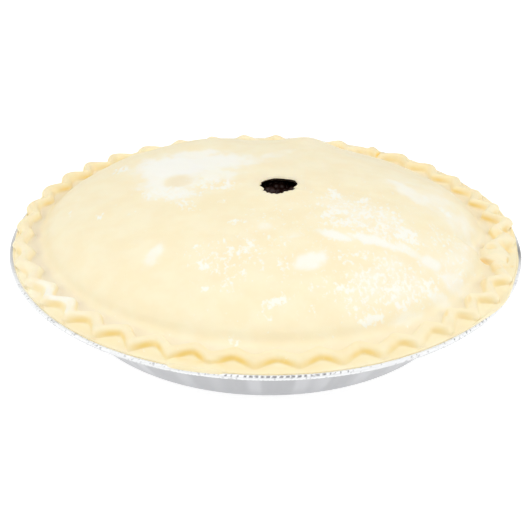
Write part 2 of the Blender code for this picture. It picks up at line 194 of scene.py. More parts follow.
@dataclass(frozen=True)
class RawShortcrust:
    """Raw shortcrust: flour rubbed with butter and rolled out, matt and creamy.

    The rolled face is pale with flour. The folds' sides are painted a deeper
    yellow, partly the butter where no flour lies and partly painted shade; the
    creases, pits, groove and cut edge carry painted shade too. Dusted flour lies
    as a film that opens into clouds, and as flecks drawn out by the brush. The
    vent's cut side is painted dark brown.
    """

    name: str = "raw_shortcrust"
    dough: str = "#FAECC7"
    dough_pale: str = "#FBF0CF"
    # Painted shade on the folds' sides, with the butter's yellow of the flange.
    butter_and_shade: str = "#F5D57B"
    # Painted shade in the groove, round the vent and in the thumb mark.
    hollow_shade: str = "#ECE0C8"
    # Painted shade in creases and pits, and the painted shadow line along the cut edge.
    crease_shade: str = "#F4C952"
    # The vent's cut side is painted dark brown.
    vent_wall_dark: str = "#4A200A"
    flour: str = "#FCFBF2"
    fleck: str = "#FCFAEE"
    roughness: float = 0.62
    waxiness: float = 0.1
    mottle_size: float = 11 * MM
    cloud_size: float = 6 * MM
    fleck_size: float = 1.7 * MM
    grain_size: float = 0.7 * MM
    brushing: float = 0.6
    film_settling: Settling = Settling(0.6, 0.7, 0.46, 0.25, 1.0)
    fleck_settling: Settling = Settling(1.0, 0.86, 0.4, 0.0, 0.92)
    grain_height: float = 0.05 * MM
    flour_height: float = 0.035 * MM

    def build(self) -> bpy.types.Material:
        """Builds the material, which reads where its mesh is floured and where painted shade lies on it.

        Returns:
            The material.
        """
        material, tree, shader = blank_material(self.name)
        place = add_node(tree, "TexCoord").outputs["Object"]
        brushed = add_node(tree, "Mapping", {"Vector": place, "Scale": (1.0, self.brushing, 1.0)})
        drawn_out = brushed.outputs["Vector"]
        patterns = (
            (place, self.mottle_size, 3.0),
            (place, self.grain_size, 3.0),
            (drawn_out, self.fleck_size, 3.6),
            (drawn_out, self.cloud_size, 6.0),
        )
        mottle, grain, clump, cloud = (
            add_node(tree, "TexNoise", {"Vector": way, "Scale": 1 / size, "Detail": detail}).outputs["Fac"]
            for way, size, detail in patterns
        )
        pale = add_node(tree, "MapRange", {"Value": mottle, "From Min": 0.38, "From Max": 0.62})
        film, flecks = (
            add_node(tree, "Attribute", attribute_name=kind.value).outputs["Fac"] for kind in Dust
        )
        settled = self._settle(tree, film, cloud, self.film_settling)
        film = add_node(tree, "Math", {0: film, 1: settled}, operation="MULTIPLY", use_clamp=True)
        specks = -0.4
        for pattern, weight in ((grain, 0.5), (clump, 1.7)):
            inputs = {0: pattern, 1: weight, 2: specks}
            specks = add_node(tree, "Math", inputs, operation="MULTIPLY_ADD").outputs["Value"]
        flecks = self._settle(tree, flecks, specks, self.fleck_settling)
        layers = (
            (pale.outputs["Result"], self.dough_pale),
            ("butter_and_shade", self.butter_and_shade),
            ("hollow_shade", self.hollow_shade),
            ("crease_shade", self.crease_shade),
            ("vent_wall_dark", self.vent_wall_dark),
            (film.outputs["Value"], self.flour),
            (flecks, self.fleck),
        )
        tree.links.new(layered(tree, self.dough, layers), shader.inputs["Base Color"])

        relief = add_node(tree, "Math", {0: grain, 1: self.grain_height}, operation="MULTIPLY")
        heights = {0: flecks, 1: self.flour_height, 2: relief.outputs["Value"]}
        relief = add_node(tree, "Math", heights, operation="MULTIPLY_ADD").outputs["Value"]
        bump = add_node(tree, "Bump", {"Height": relief, "Distance": 1.0, "Strength": 1.0})
        tree.links.new(bump.outputs["Normal"], shader.inputs["Normal"])
        shader.inputs["Roughness"].default_value = self.roughness
        shader.inputs["Specular IOR Level"].default_value = 0.3
        shader.inputs["Subsurface Weight"].default_value = self.waxiness
        shader.inputs["Subsurface Radius"].default_value = (1.0, 0.65, 0.3)
        shader.inputs["Subsurface Scale"].default_value = 2.5 * MM
        return material

    @staticmethod
    def _settle(tree: Tree, flour: Socket, pattern: Socket, how: Settling) -> Socket:
        """Breaks painted flour up in a noise.

        Args:
            tree: The material's node tree.
            flour: How thickly flour is painted.
            pattern: The noise.
            how: Where and how softly the flour ends in it.

        Returns:
            The share of each place that flour covers.
        """
        bare = add_node(tree, "Math", {0: flour, 1: -how.pull, 2: how.bare}, operation="MULTIPLY_ADD")
        bare = bare.outputs["Value"]
        full = add_node(tree, "Math", {0: bare, 1: how.fade}, operation="ADD").outputs["Value"]
        inputs = {
            "Value": pattern, "From Min": bare, "From Max": full, "To Min": how.least, "To Max": how.most,
        }
        return add_node(tree, "MapRange", inputs, interpolation_type="SMOOTHSTEP").outputs["Result"]


@dataclass(frozen=True)
class PressedFoil:
    """Aluminium foil, cold-pressed into a plate: satin, with fine rolling marks.

    The rolled bead is creased all over and scatters more light than the side.
    Its near-white, mostly unmetallic colour is partly that and partly a painted
    highlight, and the side's grey, darker than bare foil, is painted shade.
    Painted sheen lies in uneven bands on the side's pleats. Painted shade makes
    the bead almost black in dashes where it is gathered under the pastry's
    edge, and painted light whitens it at the back. The rolling marks are drawn
    as coarse as the picture can show them.
    """

    name: str = "pressed_foil"
    # The side's grey, darker than bare aluminium, is painted shade.
    side: str = "#B7B8BB"
    # Painted sheen in uneven bands on the side's pleats.
    pleat_sheen: str = "#C8C9CC"
    # The bead's near-white, mostly unmetallic finish is partly the crinkled foil's scatter and partly a
    # painted highlight.
    bead: str = "#F4F5F6"
    # Painted light: white, unmetallic foil that whitens the bead at the back.
    bead_light: str = "#FFFFFF"
    # Painted shade: dashes where the bead is gathered under the pastry, its underside and its pits.
    crevice_shade: str = "#26272B"
    side_roughness: float = 0.3
    bead_roughness: float = 0.5
    bead_metal: float = 0.3
    rolling_mark: float = 0.6 * MM
    rolling_stretch: float = 0.06
    mark_height: float = 0.012 * MM

    def build(self) -> bpy.types.Material:
        """Builds the material, which reads where the foil is rolled up, and its painted shade, sheen and
        light.

        Returns:
            The material.
        """
        material, tree, shader = blank_material(self.name)
        tones = {"pleat_sheen": self.pleat_sheen, "rolled": self.bead, "bead_lit": self.bead_light, "crevice_shade": self.crevice_shade}
        tree.links.new(layered(tree, self.side, tones.items()), shader.inputs["Base Color"])
        rolled, bead_lit = (
            add_node(tree, "Attribute", attribute_name=name).outputs["Fac"] for name in ("rolled", "bead_lit")
        )
        bead_metal = add_node(tree, "MapRange", {"Value": bead_lit, "To Min": self.bead_metal, "To Max": 0.0})
        surfaces = {
            "Roughness": (self.side_roughness, self.bead_roughness),
            "Metallic": (1.0, bead_metal.outputs["Result"]),
        }
        for name, (on_side, on_bead) in surfaces.items():
            surface = add_node(tree, "MapRange", {"Value": rolled, "To Min": on_side, "To Max": on_bead})
            tree.links.new(surface.outputs["Result"], shader.inputs[name])
        place = add_node(tree, "TexCoord").outputs["Object"]
        stretched = add_node(tree, "Mapping", {"Vector": place, "Scale": (self.rolling_stretch, 1.0, 1.0)})
        inputs = {"Vector": stretched.outputs["Vector"], "Scale": 1 / self.rolling_mark, "Detail": 2.0}
        marks = add_node(tree, "TexNoise", inputs).outputs["Fac"]
        height = add_node(tree, "Math", {0: marks, 1: self.mark_height}, operation="MULTIPLY")
        bump = add_node(tree, "Bump", {"Height": height.outputs["Value"], "Distance": 1.0})
        tree.links.new(bump.outputs["Normal"], shader.inputs["Normal"])
        return material


@dataclass(frozen=True)
class BrambleSkin:
    """The skin of ripe brambles in syrup, in the lid's shade: almost black, hardly shining."""

    name: str = "bramble_skin"
    ripe: str = "#1C0803"
    unripe: str = "#2C0E06"
    roughness: float = 0.5
    patch_size: float = 9 * MM

    def build(self) -> bpy.types.Material:
        """Builds the material, redder where a fruit is less ripe.

        Returns:
            The material.
        """
        material, tree, shader = blank_material(self.name)
        place = add_node(tree, "TexCoord").outputs["Object"]
        patches = add_node(tree, "TexNoise", {"Vector": place, "Scale": 1 / self.patch_size})
        colour = layered(tree, self.ripe, [(patches.outputs["Fac"], self.unripe)])
        tree.links.new(colour, shader.inputs["Base Color"])
        shader.inputs["Roughness"].default_value = self.roughness
        shader.inputs["Specular IOR Level"].default_value = 0.3
        shader.inputs["Coat Weight"].default_value = 0.08
        shader.inputs["Coat Roughness"].default_value = 0.3
        return material


# ---------------------------------------------------------------------------
# Meshes made by hand: profiles, turning and reshaping
# ---------------------------------------------------------------------------


def deselect_all() -> None:
    """Leaves no object selected, so that the next operator acts on its own piece."""
    bpy.ops.object.select_all(action="DESELECT")


def select_only(piece: Piece) -> None:
    """Selects one object and makes it the active one.

    Args:
        piece: The object.
    """
    deselect_all()
    piece.select_set(True)
    bpy.context.view_layer.objects.active = piece


def rounded(profile: Profile, passes: int) -> Profile:
    """Rounds a profile's corners by cutting them, again and again.

    Args:
        profile: Points of (radius, height).
        passes: How many times every corner is cut.

    Returns:
        The rounded profile, with the same two ends.
    """
    points = np.array(profile)
    for _ in range(passes):
        near = 0.75 * points[:-1] + 0.25 * points[1:]
        far = 0.25 * points[:-1] + 0.75 * points[1:]
        cut = np.stack([near, far], axis=1).reshape(-1, 2)
        points = np.concatenate([points[:1], cut[1:-1], points[-1:]])
    return [tuple(point) for point in points]


def turned(name: str, profile: Profile, steps: int) -> Piece:
    """Extrudes a profile, spins it round Z for a sixteenth turn and copies that round.

    Args:
        name: The new object's name.
        profile: Points of (radius, height), in order.
        steps: How many stretches the whole turn has, a multiple of 16.

    Returns:
        The turned object, its seam and poles merged.
    """
    deselect_all()
    first, *rest = profile
    bpy.ops.mesh.primitive_plane_add(size=1 * MM, location=(0, 0, 0))
    made = bpy.context.object
    made.name = name
    bpy.ops.object.mode_set(mode="EDIT")
    bpy.ops.mesh.merge(type="CENTER")
    bpy.ops.transform.translate(value=(first[0], 0, first[1]))
    before = first
    for point in rest:
        step = (point[0] - before[0], 0, point[1] - before[1])
        bpy.ops.mesh.extrude_vertices_move(TRANSFORM_OT_translate={"value": step})
        before = point
    bpy.ops.mesh.select_all(action="SELECT")
    bpy.ops.mesh.spin(steps=steps // 16, angle=math.pi / 8, center=(0, 0, 0), axis=(0, 0, 1))
    for turn in (math.pi / 8, math.pi / 4, math.pi / 2, math.pi):
        bpy.ops.mesh.select_all(action="SELECT")
        bpy.ops.mesh.duplicate()
        bpy.ops.transform.rotate(value=turn, orient_axis="Z", center_override=(0, 0, 0))
    bpy.ops.mesh.select_all(action="SELECT")
    bpy.ops.mesh.remove_doubles(threshold=0.00001)
    bpy.ops.mesh.normals_make_consistent(inside=False)
    bpy.ops.object.mode_set(mode="OBJECT")
    return made


def points_of(piece: Piece) -> Values:
    """The mesh's points.

    Args:
        piece: The object.

    Returns:
        One row of x, y and z for each point.
    """
    flat = np.empty(len(piece.data.vertices) * 3)
    piece.data.vertices.foreach_get("co", flat)
    return flat.reshape(-1, 3)


def move_points(piece: Piece, points: Values) -> None:
    """Puts the mesh's points where the rows say."""
    piece.data.vertices.foreach_set("co", points.ravel())
    piece.data.update()


def normals_of(piece: Piece) -> Values:
    """The mesh's outward directions.

    Args:
        piece: The object.

    Returns:
        One row of x, y and z for each point.
    """
    flat = np.empty(len(piece.data.vertices) * 3)
    piece.data.vertex_normals.foreach_get("vector", flat)
    return flat.reshape(-1, 3)


def polar(piece: Piece) -> Polar:
    """The mesh's points round the pie's axis."""
    x, y, z = points_of(piece).T
    return Polar(np.hypot(x, y), np.arctan2(y, x), z)


def reshape(piece: Piece, rule: Rule) -> None:
    """Moves every point of a mesh by a rule.

    Args:
        piece: The object whose mesh is moved.
        rule: Says where the points go.
    """
    radius, angle, height = rule(polar(piece))
    move_points(piece, np.stack([radius * np.cos(angle), radius * np.sin(angle), height], axis=1))


def lumps(points: Values, size: float, seed: float) -> Values:
    """Smooth noise from about -1 to 1 at each point.

    Args:
        points: Rows of x, y and z.
        size: How far apart the lumps are.
        seed: Gives each use a field of its own.

    Returns:
        One value for each point.
    """
    shift = Vector((seed, 2.3 * seed, -1.7 * seed))
    return np.array([noise.noise(Vector(point) / size + shift) for point in points])


def blurred(piece: Piece, values: Values, passes: int) -> Values:
    """Spreads each point's value to its neighbours, again and again.

    Args:
        piece: The object whose edges say which points are neighbours.
        values: One value for each point.
        passes: How many times the values are spread.

    Returns:
        The softened values.
    """
    ends = np.empty(len(piece.data.edges) * 2, dtype=np.int32)
    piece.data.edges.foreach_get("vertices", ends)
    one, other = ends.reshape(-1, 2).T
    count = len(values)
    links = np.bincount(one, minlength=count) + np.bincount(other, minlength=count)
    for _ in range(passes):
        near = np.bincount(one, values[other], count) + np.bincount(other, values[one], count)
        values = 0.5 * values + 0.5 * near / links
    return values


def paint(piece: Piece, name: str, values: Values) -> None:
    """Stores a value at each point of the mesh, for its material to read."""
    layer = piece.data.attributes.new(name, "FLOAT", "POINT")
    layer.data.foreach_set("value", values.astype(np.float32))


def finish_piece(piece: Piece, node: str, finish: bpy.types.Material) -> None:
    """Dresses a modelled piece and lets it stand for its solid.

    Args:
        piece: The modelled object.
        node: The solid that it stands for.
        finish: The material.
    """
    piece.data.materials.clear()
    piece.data.materials.append(finish)
    select_only(piece)
    bpy.ops.object.shade_smooth_by_angle(angle=math.radians(50))
    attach(piece, "root")
    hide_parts(node)
    LOG.info("%s: %d faces", piece.name, len(piece.data.polygons))


# ---------------------------------------------------------------------------
# Smooth blends and rises
# ---------------------------------------------------------------------------


def smooth_max(first: Values, second: Values, blend: float) -> Values:
    """The larger of two values, with the corner between them rounded.

    Args:
        first: Some values.
        second: The values to compare them with.
        blend: How far from the corner the rounding starts.

    Returns:
        The rounded maximum.
    """
    share = np.clip(0.5 + 0.5 * (first - second) / blend, 0, 1)
    return second + (first - second) * share + blend * share * (1 - share)


def smooth_step(value: Values, low: Values | float, high: Values | float) -> Values:
    """0 at low, 1 at high and an even S between them. Low may be the larger one."""
    share = np.clip((value - low) / (high - low), 0, 1)
    return share * share * (3 - 2 * share)


def bell(value: Values, middle: Values | float, spread: float) -> Values:
    """1 at the middle, fading out on both sides of it."""
    return np.exp(-(((value - middle) / spread) ** 2))


def patchy(angle: Values, waves: int, beats: int, shift: float) -> Values:
    """Unevenness round the pie, from -1 to 1, that comes and goes."""
    return np.sin(waves * angle + shift) * np.sin(beats * angle)


@dataclass(frozen=True)
class Swell:
    """A smooth rise round one angle of the pie."""

    at: float
    spread: float
    amount: float

    def along(self, angle: Values) -> Values:
        """The rise at each angle, in radians, in the amount's own unit."""
        return self.amount * bell((np.degrees(angle) - self.at + 180) % 360 - 180, 0, self.spread)


Swells = tuple[Swell, ...]


def swells(*rows: tuple[float, float, float], unit: float = 1.0) -> Swells:
    """Makes rises from rows of angle, spread and amount, with the amounts in the unit."""
    return tuple(Swell(at, spread, amount * unit) for at, spread, amount in rows)


def total(rises: Swells, angle: Values) -> Values:
    """The sum of several rises at each angle."""
    return sum((rise.along(angle) for rise in rises), np.zeros_like(angle))


# ---------------------------------------------------------------------------
# Foil dish
# ---------------------------------------------------------------------------


@dataclass
class FoilDish:
    """A 230 mm foil plate: foot ring, pleated side, flat brim and rolled bead."""

    foot_radius: float = 87 * MM
    foot_flat_radius: float = 86.4 * MM
    foot_ring_inner_radius: float = 77 * MM
    foot_ring_slope: float = 1 * MM
    foot_panel_raise: float = 0.8 * MM
    side_foot_height: float = 0.5 * MM
    side_top_radius: float = 106.3 * MM
    brim_height: float = 25.3 * MM
    foil: float = 0.3 * MM
    bead_radius: float = 1.1 * MM
    bead_lift: float = 0.5 * MM
    steps: int = 1440
    radius: float = field(init=False)

    pleats: int = 48
    pleat_depth: float = 0.27 * MM
    crinkles: int = 430
    crinkle_depth: float = 0.09 * MM

    # Where painted shade lies on the bead, round its own section and round the pie,
    # and where painted light whitens it.
    crevice_at: float = 56.0
    crevice_spread: float = 20.0
    underside_at: float = -50.0
    underside_spread: float = 34.0
    underside_shade: float = 0.45
    pit_shade: float = 0.32
    dashes: int = 310
    gathers: Swells = swells((274, 11, 0.92), (222, 18, 0.12), (318, 10, 0.2))
    edge_shade: Swells = swells((188, 15, 0.75))
    bead_shade: Swells = swells((354, 5, 0.66), (187, 10, 0.3))
    # Painted light that whitens the bead at the back.
    bead_light_spots: Swells = swells((52, 34, 1.4), (105, 40, 0.8))

    def __post_init__(self) -> None:
        """Takes the plate's full radius from its solid."""
        self.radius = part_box("foil_dish")[1].x

    @property
    def bead_centre(self) -> tuple[float, float]:
        """Radius and height of the middle of the rolled bead."""
        return self.radius - self.bead_radius, self.brim_height + self.bead_lift + self.bead_radius

    def side_radius(self, inward: float, height: float) -> float:
        """Radius of the sloping side.

        Args:
            inward: Distance in from the foil's outside, square to the side.
            height: Height above the table.

        Returns:
            The radius at that height.
        """
        run = self.side_top_radius - self.foot_radius
        climb = self.brim_height - self.side_foot_height
        length = math.hypot(run, climb)
        low_radius = self.foot_radius - inward * climb / length
        low_height = self.side_foot_height + inward * run / length
        return low_radius + (height - low_height) * run / climb

    def _bead(self) -> Profile:
        """The bead's arc.

        Returns:
            Its points, from the brim's top round to the bead's underside.
        """
        middle, level = self.bead_centre
        first = math.pi + math.asin((self.bead_radius - self.foil) / self.bead_radius)
        turns = np.linspace(first, -0.5 * math.pi, 15)
        return [
            (middle + self.bead_radius * math.cos(t), level + self.bead_radius * math.sin(t)) for t in turns
        ]

    def _profile(self) -> Profile:
        """The whole section.

        Returns:
            Its points, from the middle of the inside round to the underside.
        """
        ring, panel = self.foot_ring_inner_radius, self.foot_panel_raise
        slope_end = ring - self.foot_ring_slope
        inner = [
            (0, panel + self.foil),
            (slope_end, panel + self.foil),
            (ring, self.foil),
            (self.foot_flat_radius, self.foil),
            (self.side_radius(self.foil, 2 * MM), 2 * MM),
            (self.side_radius(self.foil, self.brim_height), self.brim_height + self.foil),
        ]
        levels = np.linspace(self.brim_height, self.side_foot_height, 12)
        outer = [(self.side_radius(0, z), z) for z in levels]
        foot = [(self.foot_flat_radius, 0), (ring, 0), (slope_end, panel), (0, panel)]
        return [*inner, *self._bead(), *outer, *foot]

    def _pleated(self, at: Polar) -> Polar:
        """Presses soft uneven pleats into the side, fading out at its foot.

        Args:
            at: The dish's points.

        Returns:
            Where they go.
        """
        radius, angle, height = at
        up_side = smooth_step(height, self.side_foot_height, 0.4 * self.brim_height)
        on_side = up_side * (1 - smooth_step(radius, self.side_top_radius, self.side_top_radius + 2 * MM))
        phase = self.pleats * angle + 1.1 * np.sin(5 * angle + 1.3) + 0.8 * np.sin(11 * angle)
        uneven = 0.55 + 0.45 * patchy(angle, 5, 13, 1.0)
        crisp = np.cos(phase) + 0.35 * np.cos(2 * phase + 0.6) + 0.2 * np.cos(3 * phase)
        return Polar(radius + self.pleat_depth * crisp * uneven * on_side, angle, height)

    def _on_bead(self, radius: Values) -> Values:
        """How far each place lies on the rolled bead, from 0 to 1."""
        return smooth_step(radius, self.radius - 3.4 * MM, self.radius - 1.9 * MM)

    def _mark_bead(self, dish: Piece) -> None:
        """Marks where the foil is rolled, where painted shade darkens the bead and where painted light
        whitens it.

        Args:
            dish: The dish, before its bead is crinkled.
        """
        points = points_of(dish)
        radius, angle, height = polar(dish)
        on_bead = self._on_bead(radius)
        middle, level = self.bead_centre
        around = np.degrees(np.arctan2(height - level, radius - middle))
        gathered = total(self.gathers, angle) + 0.35 * lumps(points, 4 * MM, 6)
        dashed = np.sin(self.dashes * angle + 4 * lumps(points, 6 * MM, 12))
        dashes = smooth_step(dashed + 2 * gathered, 1.1, 1.5)
        ahead = 1 - smooth_step(points[:, 1], -10 * MM, 10 * MM)
        aside = smooth_step(np.abs(np.cos(angle)), 0.25, 0.5) * self.underside_shade * ahead
        shades = (
            dashes * bell(around, self.crevice_at, self.crevice_spread),
            (aside + total(self.edge_shade, angle)) * bell(around, self.underside_at, self.underside_spread),
            total(self.bead_shade, angle),
            self.pit_shade * smooth_step(lumps(points, 1.1 * MM, 21), 0.36, 0.5),
        )
        paint(dish, "rolled", on_bead)
        # Painted shade: dashes under the pastry's edge, the bead's underside, shaded stretches and pits.
        paint(dish, "crevice_shade", np.maximum.reduce(shades) * on_bead)
        # Painted light that whitens the bead at the back.
        paint(dish, "bead_lit", np.clip(total(self.bead_light_spots, angle), 0, 1) * on_bead)

    def _crinkle(self, dish: Piece) -> None:
        """Gives the rolled bead the fine crinkles of gathered foil.

        Args:
            dish: The dish, whose points are moved.
        """
        points = points_of(dish)
        radius, angle, _ = polar(dish)
        turn = self.crinkles * angle + 3 * np.sin(17 * angle) + 2 * np.sin(29 * angle + 1)
        wave = np.sin(turn) * (0.55 + 0.45 * patchy(angle, 11, 23, 2)) + 0.6 * lumps(points, 2.2 * MM, 5)
        depth = self.crinkle_depth * (wave - 1) * self._on_bead(radius)
        move_points(dish, points + normals_of(dish) * depth[:, None])

    def _paint_pleat_sheen(self, dish: Piece) -> None:
        """Paints sheen in bands on the pleats, broad and narrow ones by turns.

        Args:
            dish: The dish.
        """
        _, angle, height = polar(dish)
        broad = np.sin(31 * angle + 1.7 * np.sin(7 * angle))
        narrow = np.sin(53 * angle + 2 * np.sin(9 * angle + 1))
        up_side = smooth_step(height, self.side_foot_height, 0.3 * self.brim_height)
        paint(dish, "pleat_sheen", smooth_step(broad + 0.6 * narrow, -0.3, 1.2) * (0.25 + 0.75 * up_side))

    def build(self) -> Piece:
        """Models the dish and dresses it in pressed foil.

        Returns:
            The dish.
        """
        dish = turned("pressed_foil_dish", self._profile(), self.steps)
        reshape(dish, self._pleated)
        self._mark_bead(dish)
        self._crinkle(dish)
        self._paint_pleat_sheen(dish)
        finish_piece(dish, "foil_dish", PressedFoil().build())
        return dish


# ---------------------------------------------------------------------------
# Marks on the pastry lid
# ---------------------------------------------------------------------------


@dataclass(frozen=True)
class Spot:
    """An ellipse on the lid, seen from above: middle, half axes and turn, in mm and degrees."""

    x: float
    y: float
    long: float
    wide: float
    turn: float

    def away(self, x: Values, y: Values) -> Values:
        """How far each place lies from the middle.

        Args:
            x: Places across the pie.
            y: Places from front to back.

        Returns:
            The distance, 1 on the ellipse's outline.
        """
        turn = math.radians(self.turn)
        across, back = x / MM - self.x, y / MM - self.y
        along = (across * math.cos(turn) + back * math.sin(turn)) / self.long
        aside = (back * math.cos(turn) - across * math.sin(turn)) / self.wide
        return np.hypot(along, aside)


@dataclass(frozen=True)
class DustMark(Spot):
    """One patch of flour, and how thickly it lies in the middle."""

    amount: float

    def cover(self, x: Values, y: Values, ragged: Values | float = 0.0) -> Values:
        """How thickly the patch covers each place, with its outline pushed in by ragged."""
        return self.amount * (1 - smooth_step(self.away(x, y) + ragged, 0.4, 1.25))


@dataclass(frozen=True)
class Dent(Spot):
    """A pit in the rim, or a long one that creases it, with its depth in millimetres.

    The shade tint is how much deep yellow is painted in it: partly the unfloured
    dough, partly painted shade.
    """

    depth: float
    shade_tint: float

    def cover(self, x: Values, y: Values) -> Values:
        """How far each place lies in the dent, from 0 outside to 1 in its middle."""
        return 1 - smooth_step(self.away(x, y), 0.2, 1.3)


def dusted(*rows: tuple[float, ...]) -> tuple[DustMark, ...]:
    """Makes patches of flour from rows of x, y, long, wide, turn and amount."""
    return tuple(DustMark(*row) for row in rows)


FLOUR_MARKS = {
    Dust.FILM: dusted(
        # The broad floury patch at the back left, with its tail to the right.
        (-42, 27, 26, 23, -35, 0.95), (-25, 32, 24, 16, -8, 0.9), (-42, 9, 19, 13, 0, 0.85),
        (-8, 31, 14, 9, 0, 0.5), (4, 40, 18, 5, 45, 0.5), (-36, 44, 20, 9, 10, 0.8),
        (-42, -2, 17, 11, -10, 0.72), (-23, 15, 15, 9, 0, 0.74),
        # A small mark at the front left, and those in front of the vent.
        (-46, -52, 9, 4, 66, 0.75), (0, -36, 5, 4, -25, 0.45), (12, -43, 5, 2, 28, 0.5),
        (18, -59, 11, 6, 37, 0.8),
        # The brushed streak to the right of the vent.
        (29, -41, 10, 4, -16, 0.85), (45, -42, 15, 4, -12, 0.85), (60, -44, 9, 4, -29, 0.7),
        (69, -47, 6, 6, -30, 0.75), (72, -52, 5, 3, -60, 0.3),
        # Marks along the front right.
        (57, -77, 11, 3, 34, 0.55), (72, -64, 7, 4, 32, 0.6), (79, -52, 9, 6, 42, 0.65),
        # The haze over the right and back.
        (66, 8, 20, 8, -47, 0.72), (86, -10, 16, 9, -60, 0.6), (62, 22, 10, 6, -54, 0.35),
        (10, 40, 90, 50, 0, 0.18), (66, -50, 34, 30, -30, 0.22), (42, -22, 26, 16, -40, 0.5),
        (52, -64, 24, 14, 30, 0.46), (78, 4, 34, 15, -58, 0.5), (82, -42, 24, 10, 80, 0.45),
    ),
    Dust.FLECKS: dusted(
        # Round the broad patch, and down the left side.
        (-43, -2, 18, 9, -10, 0.6), (-24, 4, 14, 8, -30, 0.6), (-35, -16, 10, 5, -65, 0.55),
        (-69, 34, 9, 6, 56, 0.6), (-73, -15, 5, 2, -93, 0.6), (-58, -18, 3, 2, 35, 0.45),
        (-88, -2, 5, 2, -72, 0.4), (-87, 10, 5, 2, -93, 0.35),
        # In front of the vent.
        (-25, -61, 5, 4, -42, 0.7), (-28, -50, 4, 3, 36, 0.5), (-15, -56, 6, 3, -103, 0.6),
        (-8, -52, 7, 3, 53, 0.75), (-21, -65, 10, 2, -110, 0.45), (-16, -73, 5, 3, 69, 0.6),
        (-10, -68, 4, 2, 36, 0.5), (-24, -74, 3, 2, 35, 0.6), (-13, -33, 4, 3, 45, 0.65),
        (-8, -33, 4, 2, -75, 0.55), (-20, -13, 5, 3, 38, 0.35), (1, -44, 3, 2, -34, 0.6),
        (6, -50, 4, 2, 20, 0.5), (7, -62, 6, 3, -75, 0.6),
        # The web to the right of the vent.
        (33, -31, 8, 4, 41, 0.75), (29, -23, 10, 5, 52, 0.68), (30, -5, 10, 4, -77, 0.68),
        (42, -8, 7, 4, 51, 0.65), (24, -35, 4, 3, -44, 0.5), (45, -20, 10, 7, -58, 0.6),
        (44, -41, 13, 5, -11, 0.6), (50, -32, 6, 4, 40, 0.65), (59, -33, 9, 9, 0, 0.72),
        (41, -53, 9, 5, 9, 0.48), (32, -56, 5, 4, -48, 0.55),
        # Along the front right.
        (43, -68, 6, 3, -83, 0.65), (32, -73, 7, 3, -31, 0.6), (23, -69, 4, 2, -78, 0.5),
        (5, -81, 8, 3, 21, 0.75), (0, -85, 6, 3, -68, 0.5), (18, -83, 3, 2, 42, 0.5),
        (42, -83, 7, 2, 29, 0.95), (55, -73, 6, 3, 30, 0.62), (53, -67, 9, 5, 29, 0.6),
        (66, -61, 8, 6, 0, 0.6), (-12, -94, 4, 2, -16, 0.5),
        # The thin scatter over the right and front.
        (80, -2, 5, 4, 8, 0.5), (30, -40, 60, 60, 0, 0.24), (44, -26, 34, 22, -40, 0.5),
        (48, -66, 30, 17, 30, 0.5), (-14, -56, 22, 20, 40, 0.38), (78, -36, 14, 26, 0, 0.36),
    ),
}

# How far noise breaks the outline of a patch of each kind.
RAGGEDNESS = {Dust.FILM: 0.2, Dust.FLECKS: 0.35}

# Where a thumb has wiped the patch.
THUMB = DustMark(-39.8, 10.2, 7.4, 8.0, 0, 0.85)

DENTS = (
    # Where the crimp's two ends overlap at the right.
    Dent(93.0, -23.4, 7.0, 1.6, -34, 0.8, 1.0),
    Dent(97.6, -9.8, 5.4, 1.1, 73, 1.6, 0.12),
    Dent(99.8, -15.3, 2.6, 2.2, 20, 1.7, 0.3),
    Dent(98.6, -20.6, 4.6, 0.8, 8, 0.8, 0.0),
    Dent(106.8, -11.5, 3.4, 2.4, -20, 1.5, 0.3),
    Dent(105.0, -1.4, 3.0, 2.4, 0, 1.5, 0.25),
    Dent(110.6, 4.3, 2.2, 2.0, 60, 0.7, 0.1),
    Dent(105.9, -24.0, 1.8, 0.6, 80, 1.0, 0.4),
    Dent(107.9, -26.2, 1.2, 0.6, 30, 0.8, 0.35),
    Dent(99.8, -33.6, 2.5, 1.5, -30, 1.2, 0.25),
    # Creases along the crimp's inner side at the front right.
    Dent(92.8, -45.0, 9.0, 0.9, 82, 0.5, 0.25),
    Dent(84.1, -61.7, 3.7, 0.9, 82, 0.5, 0.3),
    Dent(73.3, -73.2, 2.8, 0.9, 84, 0.6, 0.35),
    # The small tear at the back right.
    Dent(56.7, 83.8, 2.2, 1.3, 60, 1.2, 0.9),
)


# ---------------------------------------------------------------------------
# Pastry lid
# ---------------------------------------------------------------------------


@dataclass(frozen=True)
class Hump:
    """Where fruit lifts the lid, or leaves it low: place, height and spread, in millimetres."""

    x: float
    y: float
    height: float
    spread: float

    def rise(self, x: Values, y: Values) -> Values:
        """How far the hump lifts each place."""
        away = (x - self.x * MM) ** 2 + (y - self.y * MM) ** 2
        return self.height * MM * np.exp(-away / (self.spread * MM) ** 2)


